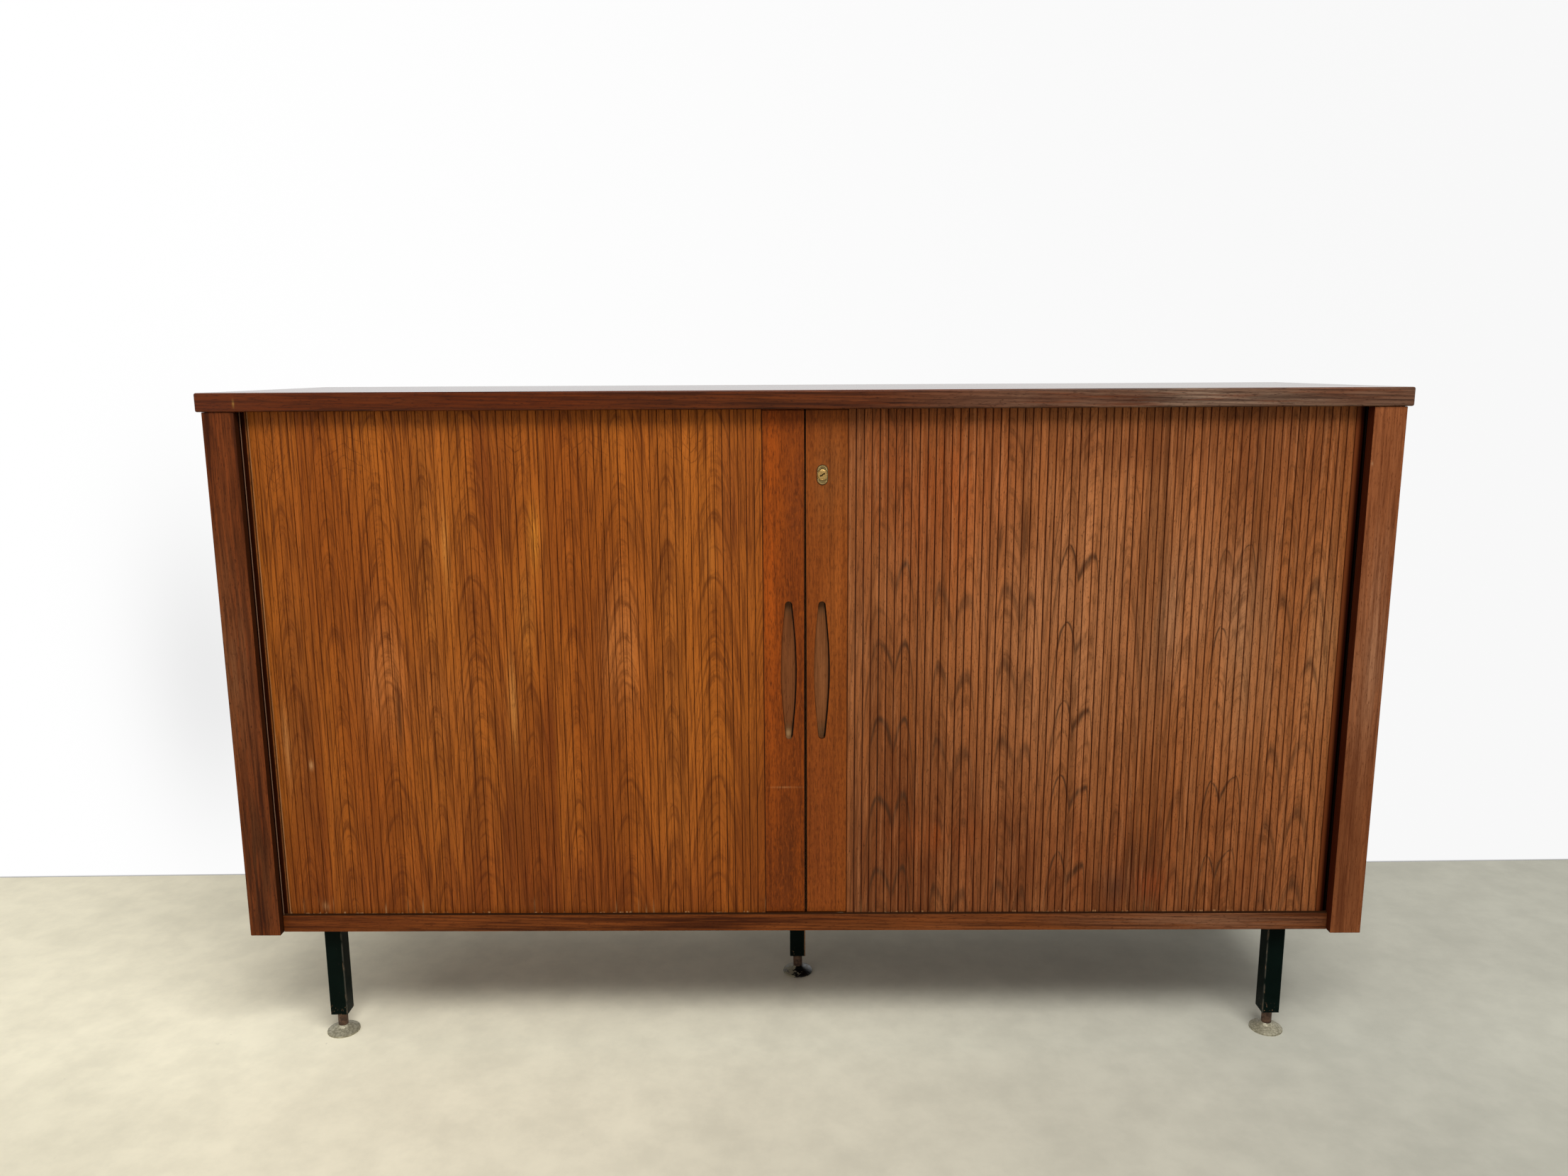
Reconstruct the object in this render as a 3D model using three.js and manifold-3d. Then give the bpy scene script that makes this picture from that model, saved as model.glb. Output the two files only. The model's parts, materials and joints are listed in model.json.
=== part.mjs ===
// Tambour door cabinet: a wide low case on five square legs, with two slatted doors that slide apart
// and run round the front corners into pockets in the sides and the back.
// Millimetres. +X is right, +Y is back, +Z is up. The origin is on the floor under the middle.
import * as THREE from "three";
import { mergeVertices } from "three/addons/utils/BufferGeometryUtils.js";
import Module from "manifold-3d";

const wasm = await Module();
wasm.setup();

// Shared by the whole cabinet
const fit = 0.3;
const overrun = 6;
const cabinet = { width: 1600, depth: 450, floorClearance: 177, innerHeight: 718 };
const overhang = { side: 7, front: 3, back: 3 };
const board = { thickness: 25, frontSetback: 12 };
const post = { width: 43, depth: 18 };
const panel = { sideThickness: 18, backThickness: 10 };

// The slats, and the track that both boards carry for them
const slat = { pitch: 10.7, width: 10.1, thickness: 6.5, canvas: 0.8, tailLength: 58 };
const track = { postGap: 1.5, cornerRadius: 19.5, sideGap: 7, backGap: 6, depth: 7, clearance: 0.7 };
const rearRunLength = 370;

// Lead stiles, their grips and the line where they meet
const stile = { width: 57, thickness: 18, topGap: 2, bottomGap: 1, tongueSetback: 2 };
const meeting = { offset: 3, gap: 1.8 };
const doorStop = { width: 10, height: 20, canvasGap: 1.5 };
const grip = { inset: 22, rise: 358, length: 197, middleWidth: 22, endRadius: 5, depth: 9 };

// Lock: an oval barrel in the right stile, with its case, hook and strike on the back of the stiles
const lock = { inset: 22.5, drop: 88, ovalWidth: 14.4, ovalHeight: 26.4, proud: 1.2 };
const plug = { diameter: 12.3, proud: 0.8, running: 0.15, tailDiameter: 8, tailLength: 7 };
const keyhole = { length: 7.4, width: 1.8, depth: 9, tiltDegrees: 30 };
const lockCase = { width: 36, above: 14, below: 42, depth: 10, wall: 1.5 };
const hook = { width: 14, reach: 38, thickness: 2, standOff: 3, notchWidth: 7.4 };
const strike = { width: 20, height: 28, thickness: 2, pinInset: 6, pinDiameter: 5, pinLength: 4.5 };

// Inside
const liner = { thickness: 8, gap: 2.5 };
const partition = { thickness: 18, setback: 57 };
const shelf = { thickness: 18, rise: 353, sideGap: 1, frontSetback: 62 };
const shelfPin = { diameter: 5, holeDepth: 7, length: 15, endInset: 45 };

// Legs and levelling feet
const leg = { tube: 25, wall: 2, sideInset: 103, frontInset: 36, centreShift: -8, bottom: 32 };
const legPlate = { size: 60, thickness: 3, holeDiameter: 5, holeInset: 9 };
const insert = { height: 16, running: 0.2 };
const spindle = { diameter: 14.5, engaged: 26 };
const glide = { diameter: 47, rimHeight: 2.5, height: 11, neckDiameter: 20, shoulderHeight: 8 };

// Steps round the curves
const cornerSteps = 6;
const roundSteps = 24;
const smallSteps = 12;

// Heights
const bottomTop = cabinet.floorClearance + board.thickness;
const topUnderside = bottomTop + cabinet.innerHeight;
const cabinetTop = topUnderside + board.thickness;
const gripZ = bottomTop + grip.rise;
const lockZ = topUnderside - lock.drop;
const shelfUndersideZ = bottomTop + shelf.rise;

// Planes across the width, on the right side
const postOuterX = cabinet.width / 2 - overhang.side;
const postInnerX = postOuterX - post.width;
const sideInnerX = postOuterX - panel.sideThickness;
const sideRunOuterX = sideInnerX - track.sideGap;
const sideRunInnerX = sideRunOuterX - slat.thickness;
const cornerX = sideRunInnerX - track.cornerRadius;
const linerOuterX = sideRunInnerX - liner.gap;
const linerInnerX = linerOuterX - liner.thickness;

// Planes from front to back
const postFrontY = overhang.front - cabinet.depth / 2;
const postBackY = postFrontY + post.depth;
const doorFaceY = postBackY + track.postGap;
const canvasY = doorFaceY + slat.thickness;
const frontCornerY = canvasY + track.cornerRadius;
const stileBackY = doorFaceY + stile.thickness;
const caseBackY = cabinet.depth / 2 - overhang.back;
const backPanelFrontY = caseBackY - panel.backThickness;
const rearRunOuterY = backPanelFrontY - track.backGap;
const rearRunInnerY = rearRunOuterY - slat.thickness;
const rearCornerY = rearRunInnerY - track.cornerRadius;
const backLinerRearY = rearRunInnerY - liner.gap;
const backLinerFrontY = backLinerRearY - liner.thickness;
const partitionFrontY = postFrontY + partition.setback;
const shelfFrontY = postFrontY + shelf.frontSetback;

// Finishes seen in the photograph
const finishes = {
  darkWood: { color: 0x4a2615, roughness: 0.42, metalness: 0 },
  doorWood: { color: 0x87481f, roughness: 0.45, metalness: 0 },
  paleBoard: { color: 0x9c7148, roughness: 0.6, metalness: 0 },
  blackPaint: { color: 0x15201c, roughness: 0.4, metalness: 0.3 },
  rustySteel: { color: 0x4b2b1e, roughness: 0.6, metalness: 0.5 },
  dullZinc: { color: 0x8f8a79, roughness: 0.55, metalness: 0.7 },
  brass: { color: 0xb2924c, roughness: 0.35, metalness: 1 },
  steel: { color: 0x8d8f92, roughness: 0.4, metalness: 1 },
};

function boxBetween(low, high) {
  const size = high.map((value, i) => value - low[i]);
  const centre = high.map((value, i) => (value + low[i]) / 2);
  return new THREE.BoxGeometry(...size).translate(...centre);
}

// A box on the right side, or its mirror image on the left
function sidedBox(side, low, high) {
  const [nearX, farX] = [side * low[0], side * high[0]].sort((a, b) => a - b);
  return boxBetween([nearX, low[1], low[2]], [farX, high[1], high[2]]);
}

function extrudeUp(outline, bottom, top) {
  const options = { depth: top - bottom, bevelEnabled: false, curveSegments: cornerSteps };
  return new THREE.ExtrudeGeometry(outline, options).translate(0, 0, bottom);
}

// An outline drawn in X and Z, given its thickness from front to back
function extrudeBack(outline, front, back, steps = smallSteps) {
  const options = { depth: back - front, bevelEnabled: false, curveSegments: steps };
  return new THREE.ExtrudeGeometry(outline, options).rotateX(Math.PI / 2).translate(0, back, 0);
}

function cylinderBack(diameter, front, back, steps = roundSteps) {
  const radius = diameter / 2;
  const body = new THREE.CylinderGeometry(radius, radius, back - front, steps);
  return body.translate(0, (front + back) / 2, 0);
}

function toSolid(geometry) {
  const bare = geometry.clone();
  bare.deleteAttribute("normal");
  bare.deleteAttribute("uv");
  const merged = mergeVertices(bare);
  const mesh = new wasm.Mesh({
    numProp: 3,
    vertProperties: new Float32Array(merged.attributes.position.array),
    triVerts: new Uint32Array(merged.index.array),
  });
  return new wasm.Manifold(mesh);
}

function toGeometry(solid) {
  const mesh = solid.getMesh();
  const geometry = new THREE.BufferGeometry();
  geometry.setAttribute("position", new THREE.BufferAttribute(mesh.vertProperties, 3));
  geometry.setIndex(new THREE.BufferAttribute(mesh.triVerts, 1));
  geometry.computeVertexNormals();
  return geometry;
}

function join(first, ...others) {
  return toGeometry(others.reduce((solid, other) => solid.add(toSolid(other)), toSolid(first)));
}

function cut(body, ...tools) {
  return toGeometry(tools.reduce((solid, tool) => solid.subtract(toSolid(tool)), toSolid(body)));
}

function addPiece(parent, name, geometry, finish) {
  const mesh = new THREE.Mesh(geometry, new THREE.MeshStandardMaterial(finish));
  mesh.name = name;
  parent.add(mesh);
  return mesh;
}

const sides = [["left", -1], ["right", 1]];

// The channel one door runs in, seen from above: along the front, round the corner, along the side,
// round the rear corner and along the back. Its outline is drawn on the right and mirrored.
function trackChannel(side, bottom, top) {
  const outerRadius = track.cornerRadius + slat.thickness + track.clearance;
  const innerRadius = track.cornerRadius - track.clearance;
  const rearEndX = cornerX - rearRunLength;
  const quarter = Math.PI / 2;
  const outline = new THREE.Shape();
  outline.moveTo(-overrun, frontCornerY - outerRadius);
  outline.lineTo(cornerX, frontCornerY - outerRadius);
  outline.absarc(cornerX, frontCornerY, outerRadius, -quarter, 0, false);
  outline.absarc(cornerX, rearCornerY, outerRadius, 0, quarter, false);
  outline.lineTo(rearEndX, rearCornerY + outerRadius);
  outline.lineTo(rearEndX, rearCornerY + innerRadius);
  outline.absarc(cornerX, rearCornerY, innerRadius, quarter, 0, true);
  outline.absarc(cornerX, frontCornerY, innerRadius, 0, -quarter, true);
  outline.lineTo(-overrun, frontCornerY - innerRadius);
  return extrudeUp(mirroredOutline(outline, side), bottom, top);
}

function mirroredOutline(outline, side) {
  const points = outline.extractPoints(cornerSteps).shape;
  return new THREE.Shape(points.map((point) => new THREE.Vector2(side * point.x, point.y)));
}

function topBoard() {
  const halfWidth = cabinet.width / 2;
  const halfDepth = cabinet.depth / 2;
  const body = boxBetween([-halfWidth, -halfDepth, topUnderside], [halfWidth, halfDepth, cabinetTop]);
  const ceiling = topUnderside + track.depth;
  return cut(body, ...sides.map(([, side]) => trackChannel(side, topUnderside - overrun, ceiling)));
}

// The bottom board fills the case behind the posts and reaches forward between them
function bottomBoard() {
  const frontX = postInnerX - fit;
  const rearX = sideInnerX - fit;
  const frontY = postFrontY + board.frontSetback;
  const shoulderY = postBackY + fit;
  const rearY = backPanelFrontY - fit;
  const outline = new THREE.Shape([
    new THREE.Vector2(-frontX, frontY),
    new THREE.Vector2(frontX, frontY),
    new THREE.Vector2(frontX, shoulderY),
    new THREE.Vector2(rearX, shoulderY),
    new THREE.Vector2(rearX, rearY),
    new THREE.Vector2(-rearX, rearY),
    new THREE.Vector2(-rearX, shoulderY),
    new THREE.Vector2(-frontX, shoulderY),
  ]);
  const body = extrudeUp(outline, cabinet.floorClearance, bottomTop);
  const floor = bottomTop - track.depth;
  return cut(body, ...sides.map(([, side]) => trackChannel(side, floor, bottomTop + overrun)));
}

// Blind holes that run outward (1) or inward (-1) from the face of a wall
function pinHoles(side, wallX, direction) {
  const { diameter, holeDepth } = shelfPin;
  return shelfPinYs().map((y) => {
    const hole = shelfPinCylinder(diameter + 2 * fit, holeDepth + overrun);
    const x = wallX + direction * (holeDepth - overrun) / 2;
    return hole.translate(side * x, y, shelfPinZ());
  });
}

function shelfPinCylinder(diameter, length) {
  const radius = diameter / 2;
  return new THREE.CylinderGeometry(radius, radius, length, smallSteps).rotateZ(Math.PI / 2);
}

function shelfPinYs() {
  return [shelfFrontY + shelfPin.endInset, backLinerFrontY - shelfPin.endInset];
}

function shelfPinZ() {
  return shelfUndersideZ - fit - shelfPin.diameter / 2;
}

function sideLiner(side) {
  const low = [linerInnerX, frontCornerY + liner.gap, bottomTop + fit];
  const high = [linerOuterX, backLinerRearY, topUnderside - fit];
  return cut(sidedBox(side, low, high), ...pinHoles(side, linerInnerX, 1));
}

function middlePartition() {
  const halfThickness = partition.thickness / 2;
  const low = [-halfThickness, partitionFrontY, bottomTop + fit];
  const high = [halfThickness, backLinerRearY, topUnderside - fit];
  const holes = sides.flatMap(([, side]) => pinHoles(side, halfThickness, -1));
  return cut(boxBetween(low, high), ...holes);
}

function addCase(parent) {
  const { darkWood, paleBoard, steel } = finishes;
  const standing = [cabinet.floorClearance, topUnderside - fit];
  addPiece(parent, "top_board", topBoard(), darkWood);
  addPiece(parent, "bottom_board", bottomBoard(), darkWood);
  addPiece(parent, "partition", middlePartition(), paleBoard);
  const backLow = [fit - sideInnerX, backPanelFrontY, standing[0]];
  addPiece(parent, "back_panel", boxBetween(backLow, [sideInnerX - fit, caseBackY, standing[1]]), paleBoard);
  for (const [word, side] of sides) {
    const postLow = [postInnerX, postFrontY, standing[0]];
    const postBody = sidedBox(side, postLow, [postOuterX, postBackY, standing[1]]);
    addPiece(parent, `post_${word}`, postBody, darkWood);
    const panelLow = [sideInnerX, postBackY + fit, standing[0]];
    const panelBody = sidedBox(side, panelLow, [postOuterX, caseBackY, standing[1]]);
    addPiece(parent, `side_panel_${word}`, panelBody, darkWood);
    addPiece(parent, `side_liner_${word}`, sideLiner(side), paleBoard);
    const linerLow = [partition.thickness / 2 + fit, backLinerFrontY, bottomTop + fit];
    const linerHigh = [linerInnerX - fit, backLinerRearY, topUnderside - fit];
    addPiece(parent, `back_liner_${word}`, sidedBox(side, linerLow, linerHigh), paleBoard);
    const shelfLow = [partition.thickness / 2 + shelf.sideGap, shelfFrontY, shelfUndersideZ];
    const shelfTop = shelfUndersideZ + shelf.thickness;
    const shelfHigh = [linerInnerX - shelf.sideGap, backLinerFrontY - fit, shelfTop];
    addPiece(parent, `shelf_${word}`, sidedBox(side, shelfLow, shelfHigh), paleBoard);
    addShelfPins(parent, word, side, steel);
  }
}

// Each shelf rests on two pins in the partition and two in the side liner
function addShelfPins(parent, word, side, finish) {
  const reach = shelfPin.length / 2 - shelfPin.holeDepth + fit;
  const walls = [["inner", partition.thickness / 2 + reach], ["outer", linerInnerX - reach]];
  for (const [place, x] of walls) {
    shelfPinYs().forEach((y, i) => {
      const name = `shelf_pin_${word}_${place}_${["front", "rear"][i]}`;
      const pin = addPiece(parent, name, shelfPinCylinder(shelfPin.diameter, shelfPin.length), finish);
      pin.position.set(side * x, y, shelfPinZ());
    });
  }
}

// A place on the inner face of the canvas, by its distance past the start of the front corner
function canvasPlace(distance) {
  const cornerLength = track.cornerRadius * Math.PI / 2;
  const turned = Math.min(Math.max(distance, 0), cornerLength) / track.cornerRadius;
  const before = Math.min(distance, 0);
  const after = Math.max(distance - cornerLength, 0);
  const outward = new THREE.Vector2(Math.sin(turned), -Math.cos(turned));
  const along = new THREE.Vector2(Math.cos(turned), Math.sin(turned));
  const x = cornerX + before + track.cornerRadius * outward.x;
  const y = frontCornerY + after + track.cornerRadius * outward.y;
  return { point: new THREE.Vector2(x, y), outward, along };
}

function offsetFrom(place, outwardBy, alongBy) {
  return place.point.clone().addScaledVector(place.outward, outwardBy).addScaledVector(place.along, alongBy);
}

// The outer edge of a stile, on the side where its slats start
function stileOuterX(side) {
  return side * meeting.offset + meeting.gap / 2 + stile.width;
}

// Slats stand on a strip of canvas: out along their faces, then back along the canvas
function tambour(side) {
  const start = stileOuterX(side) + fit - cornerX;
  const end = track.cornerRadius * Math.PI / 2 + slat.tailLength;
  const count = Math.floor((end - start) / slat.pitch);
  const faces = [];
  for (let i = 0; i < count; i += 1) {
    const place = canvasPlace(start + (i + 0.5) * slat.pitch);
    faces.push(offsetFrom(place, slat.canvas, -slat.width / 2));
    faces.push(offsetFrom(place, slat.thickness, -slat.width / 2));
    faces.push(offsetFrom(place, slat.thickness, slat.width / 2));
    faces.push(offsetFrom(place, slat.canvas, slat.width / 2));
  }
  const margin = (slat.pitch - slat.width) / 2;
  const back = [canvasPlace(start + count * slat.pitch - margin).point];
  for (let step = cornerSteps; step >= 0; step -= 1) {
    back.push(canvasPlace(track.cornerRadius * Math.PI / 2 * step / cornerSteps).point);
  }
  back.push(canvasPlace(start + margin).point);
  const outline = mirroredOutline(new THREE.Shape([...faces, ...back]), side);
  const grip = track.depth - fit;
  return extrudeUp(outline, bottomTop - grip, topUnderside + grip);
}

// Half of the grip's edge bulges from one round end to the other
function gripOutline() {
  const endZ = grip.length / 2 - grip.endRadius;
  const bulge = grip.middleWidth / 2 - grip.endRadius;
  const outline = new THREE.Shape();
  const edge = (sign) => (step) => {
    const share = step / roundSteps;
    const z = sign * endZ * (2 * share - 1);
    const x = sign * (grip.endRadius + bulge * Math.sin(Math.PI * share));
    return new THREE.Vector2(x, z);
  };
  const steps = Array.from({ length: roundSteps + 1 }, (unused, step) => step);
  outline.setFromPoints(steps.map(edge(1)));
  outline.absarc(0, endZ, grip.endRadius, 0, Math.PI, false);
  steps.map(edge(-1)).forEach((point) => outline.lineTo(point.x, point.y));
  outline.absarc(0, -endZ, grip.endRadius, Math.PI, 2 * Math.PI, false);
  return outline;
}

function ovalOutline(width, height) {
  const radius = width / 2;
  const rise = height / 2 - radius;
  const outline = new THREE.Shape();
  outline.absarc(0, rise, radius, 0, Math.PI, false);
  outline.absarc(0, -rise, radius, Math.PI, 2 * Math.PI, false);
  return outline;
}

// The edge of a stile at the meeting line
function meetingEdgeX(side) {
  return meeting.offset + side * meeting.gap / 2;
}

function leadStile(side) {
  const nearX = side * meetingEdgeX(side);
  const farX = nearX + stile.width;
  const low = [nearX, doorFaceY, bottomTop + stile.bottomGap];
  const high = [farX, stileBackY, topUnderside - stile.topGap];
  const tongueReach = track.depth - fit;
  const tongueLow = [nearX, doorFaceY + stile.tongueSetback, bottomTop - tongueReach];
  const tongueHigh = [farX, canvasY, topUnderside + tongueReach];
  const gripX = meetingEdgeX(side) + side * grip.inset;
  const recess = extrudeBack(gripOutline(), doorFaceY - overrun, doorFaceY + grip.depth);
  const tools = [recess.translate(gripX, 0, gripZ)];
  if (side > 0) {
    const hole = ovalOutline(lock.ovalWidth + 2 * fit, lock.ovalHeight + 2 * fit);
    const bore = extrudeBack(hole, doorFaceY - overrun, stileBackY + overrun);
    tools.push(bore.translate(lockX(), 0, lockZ));
  }
  return cut(join(sidedBox(side, low, high), sidedBox(side, tongueLow, tongueHigh)), ...tools);
}

function lockX() {
  return meetingEdgeX(1) + lock.inset;
}

// Lock pieces are drawn round the plug's axis and placed together
function lockBarrel() {
  const outline = ovalOutline(lock.ovalWidth, lock.ovalHeight);
  const body = extrudeBack(outline, doorFaceY - lock.proud, stileBackY);
  const boreDiameter = plug.diameter + 2 * plug.running;
  return cut(body, cylinderBack(boreDiameter, doorFaceY - overrun, stileBackY + overrun));
}

function lockPlug() {
  const front = doorFaceY - lock.proud - plug.proud;
  const body = cylinderBack(plug.diameter, front, stileBackY);
  const tail = cylinderBack(plug.tailDiameter, stileBackY - fit, stileBackY + plug.tailLength);
  const halfLength = keyhole.length / 2;
  const halfWidth = keyhole.width / 2;
  const slot = boxBetween([-halfLength, front - overrun, -halfWidth], [halfLength, front + keyhole.depth, halfWidth]);
  return cut(join(body, tail), slot.rotateY(-THREE.MathUtils.degToRad(keyhole.tiltDegrees)));
}

// An open tray on the back of the stile, without a wall where the hook swings out
function lockCaseTray() {
  const front = stileBackY + fit;
  const back = stileBackY + lockCase.depth;
  const halfWidth = lockCase.width / 2;
  const body = boxBetween([-halfWidth, front, -lockCase.below], [halfWidth, back, lockCase.above]);
  const insideLow = [-halfWidth - overrun, front - overrun, lockCase.wall - lockCase.below];
  const insideHigh = [halfWidth - lockCase.wall, back - lockCase.wall, lockCase.above - lockCase.wall];
  return cut(body, boxBetween(insideLow, insideHigh));
}

function pinRadiusFromPlug() {
  return lock.inset + meeting.gap + strike.pinInset;
}

// The arm hangs down at rest. Its notch opens towards the meeting line and takes the strike's pin.
function lockHook() {
  const front = stileBackY + hook.standOff;
  const back = front + hook.thickness;
  const halfWidth = hook.width / 2;
  const arm = new THREE.Shape();
  arm.absarc(0, 0, halfWidth, 0, Math.PI, false);
  arm.lineTo(-halfWidth, -hook.reach);
  arm.lineTo(halfWidth, -hook.reach);
  const body = extrudeBack(arm, front, back);
  const eye = cylinderBack(plug.tailDiameter + 2 * plug.running, front - overrun, back + overrun);
  const halfNotch = hook.notchWidth / 2;
  const pinZ = -pinRadiusFromPlug();
  const notchLow = [-halfWidth - overrun, front - overrun, pinZ - halfNotch];
  const notch = boxBetween(notchLow, [0, back + overrun, pinZ + halfNotch]);
  const notchEnd = cylinderBack(hook.notchWidth, front - overrun, back + overrun).translate(0, 0, pinZ);
  return cut(body, eye, notch, notchEnd);
}

function strikePlate() {
  const front = stileBackY + fit;
  const back = front + strike.thickness;
  const edgeX = meetingEdgeX(-1) - fit;
  const halfHeight = strike.height / 2;
  const low = [edgeX - strike.width, front, lockZ - halfHeight];
  const plate = boxBetween(low, [edgeX, back, lockZ + halfHeight]);
  const pinX = meetingEdgeX(-1) - strike.pinInset;
  const pin = cylinderBack(strike.pinDiameter, front, back + strike.pinLength, smallSteps);
  return join(plate, pin.translate(pinX, 0, lockZ));
}

// A block behind the slats, at the start of the corner, that an open door's stile comes up against
function doorStopBlock(side) {
  const low = [cornerX - doorStop.width, canvasY + doorStop.canvasGap, bottomTop + fit];
  return sidedBox(side, low, [cornerX, stileBackY, bottomTop + fit + doorStop.height]);
}

function addDoors(parent) {
  const { doorWood, paleBoard, brass, steel } = finishes;
  for (const [word, side] of sides) {
    addPiece(parent, `door_stop_${word}`, doorStopBlock(side), paleBoard);
    addPiece(parent, `tambour_${word}`, tambour(side), doorWood);
    addPiece(parent, `lead_stile_${word}`, leadStile(side), doorWood);
  }
  addPiece(parent, "strike_plate", strikePlate(), steel);
  const lockGroup = new THREE.Group();
  lockGroup.position.set(lockX(), 0, lockZ);
  parent.add(lockGroup);
  addPiece(lockGroup, "lock_barrel", lockBarrel(), brass);
  addPiece(lockGroup, "lock_plug", lockPlug(), brass);
  addPiece(lockGroup, "lock_case", lockCaseTray(), steel);
  addPiece(lockGroup, "lock_hook", lockHook(), steel);
}

// Square tube welded to a plate with four screw holes
function weldedLeg() {
  const plateTop = cabinet.floorClearance - fit;
  const plateBottom = plateTop - legPlate.thickness;
  const halfTube = leg.tube / 2;
  const halfBore = halfTube - leg.wall;
  const halfPlate = legPlate.size / 2;
  const tube = boxBetween([-halfTube, -halfTube, leg.bottom], [halfTube, halfTube, plateTop]);
  const plate = boxBetween([-halfPlate, -halfPlate, plateBottom], [halfPlate, halfPlate, plateTop]);
  const bore = boxBetween([-halfBore, -halfBore, leg.bottom - overrun], [halfBore, halfBore, plateBottom]);
  const holeAt = halfPlate - legPlate.holeInset;
  const holes = [[-1, -1], [1, -1], [1, 1], [-1, 1]].map(([right, back]) => {
    const hole = cylinderUp(legPlate.holeDiameter, plateBottom - overrun, plateTop + overrun, smallSteps);
    return hole.translate(right * holeAt, back * holeAt, 0);
  });
  return cut(join(tube, plate), bore, ...holes);
}

function cylinderUp(diameter, bottom, top, steps = roundSteps) {
  const radius = diameter / 2;
  const body = new THREE.CylinderGeometry(radius, radius, top - bottom, steps).rotateX(Math.PI / 2);
  return body.translate(0, 0, (bottom + top) / 2);
}

function threadedInsert() {
  const half = leg.tube / 2 - leg.wall - fit;
  const top = leg.bottom + insert.height;
  const body = boxBetween([-half, -half, leg.bottom], [half, half, top]);
  return cut(body, cylinderUp(spindle.diameter + 2 * insert.running, leg.bottom - overrun, top + overrun));
}

// A pressed disc with a thin rim that swells to a collar under the spindle
function glideDisc() {
  const profile = [
    new THREE.Vector2(0, 0),
    new THREE.Vector2(glide.diameter / 2, 0),
    new THREE.Vector2(glide.diameter / 2, glide.rimHeight),
    new THREE.Vector2(glide.neckDiameter / 2, glide.shoulderHeight),
    new THREE.Vector2(spindle.diameter / 2, glide.height),
    new THREE.Vector2(0, glide.height),
  ];
  return new THREE.LatheGeometry(profile, roundSteps).rotateX(Math.PI / 2);
}

function addLegs(parent) {
  const { blackPaint, rustySteel, dullZinc, steel } = finishes;
  const sideX = postOuterX - leg.sideInset;
  const frontY = postFrontY + leg.frontInset + leg.tube / 2;
  const places = [
    ["front_left", -sideX, frontY],
    ["front_right", sideX, frontY],
    ["rear_left", -sideX, -frontY],
    ["rear_right", sideX, -frontY],
    ["centre", leg.centreShift, 0],
  ];
  for (const [word, x, y] of places) {
    const group = new THREE.Group();
    group.position.set(x, y, 0);
    parent.add(group);
    addPiece(group, `leg_${word}`, weldedLeg(), blackPaint);
    addPiece(group, `foot_insert_${word}`, threadedInsert(), steel);
    const spindleBody = cylinderUp(spindle.diameter, glide.height + fit, leg.bottom + spindle.engaged);
    addPiece(group, `foot_spindle_${word}`, spindleBody, rustySteel);
    addPiece(group, `foot_glide_${word}`, glideDisc(), dullZinc);
  }
}

const tambourCabinet = new THREE.Group();
addCase(tambourCabinet);
addDoors(tambourCabinet);
addLegs(tambourCabinet);

export default tambourCabinet;
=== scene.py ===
"""Looks of the tambour door cabinet, in metres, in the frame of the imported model.

+X is right, +Y is back, +Z is up, and the origin is on the floor under the middle.
"""
import json
import math
import random

import bpy
from mathutils import Matrix, Vector


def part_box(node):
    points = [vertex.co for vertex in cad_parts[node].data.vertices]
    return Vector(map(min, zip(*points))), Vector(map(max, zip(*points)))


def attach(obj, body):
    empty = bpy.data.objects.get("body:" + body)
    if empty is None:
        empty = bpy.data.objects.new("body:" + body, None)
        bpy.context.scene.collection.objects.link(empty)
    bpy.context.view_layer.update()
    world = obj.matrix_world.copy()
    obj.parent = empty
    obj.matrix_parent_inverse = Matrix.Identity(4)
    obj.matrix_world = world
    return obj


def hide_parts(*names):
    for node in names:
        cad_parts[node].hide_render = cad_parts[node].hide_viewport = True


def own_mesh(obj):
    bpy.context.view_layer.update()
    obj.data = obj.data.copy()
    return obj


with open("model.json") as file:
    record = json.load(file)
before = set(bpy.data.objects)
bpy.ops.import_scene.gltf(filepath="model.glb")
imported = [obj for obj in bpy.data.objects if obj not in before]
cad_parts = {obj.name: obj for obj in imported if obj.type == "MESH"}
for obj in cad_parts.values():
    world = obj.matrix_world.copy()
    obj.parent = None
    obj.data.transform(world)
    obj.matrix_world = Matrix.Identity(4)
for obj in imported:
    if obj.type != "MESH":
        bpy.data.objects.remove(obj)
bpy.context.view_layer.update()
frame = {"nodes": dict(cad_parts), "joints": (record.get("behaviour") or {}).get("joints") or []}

SIDES = {"left": -1, "right": 1}
LEGS = ("front_left", "front_right", "rear_left", "rear_right", "centre")

# Sizes of the solids that their boxes don't give
SLAT_THICKNESS = 0.0065
CANVAS_THICKNESS = 0.0008
CORNER_RADIUS = 0.0195
TRACK_FACE_Y = -0.2025
SIDE_GAP = 0.007
TAIL_LENGTH = 0.058
TONGUE_DEPTH = 0.0067
GRIP_INSET = 0.022
GRIP_RISE = 0.358
GRIP_SPAN = 0.187
GRIP_BULGE = 0.006
GRIP_END = 0.005
BARREL_STRAIGHT = 0.006
KEYHOLE_TILT = math.radians(30)
LEG_HALF = 0.0125
PLATE_HALF = 0.03
PLATE_HOLE_INSET = 0.009
PLATE_THICKNESS = 0.003
STRIKE_THICKNESS = 0.002

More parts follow.
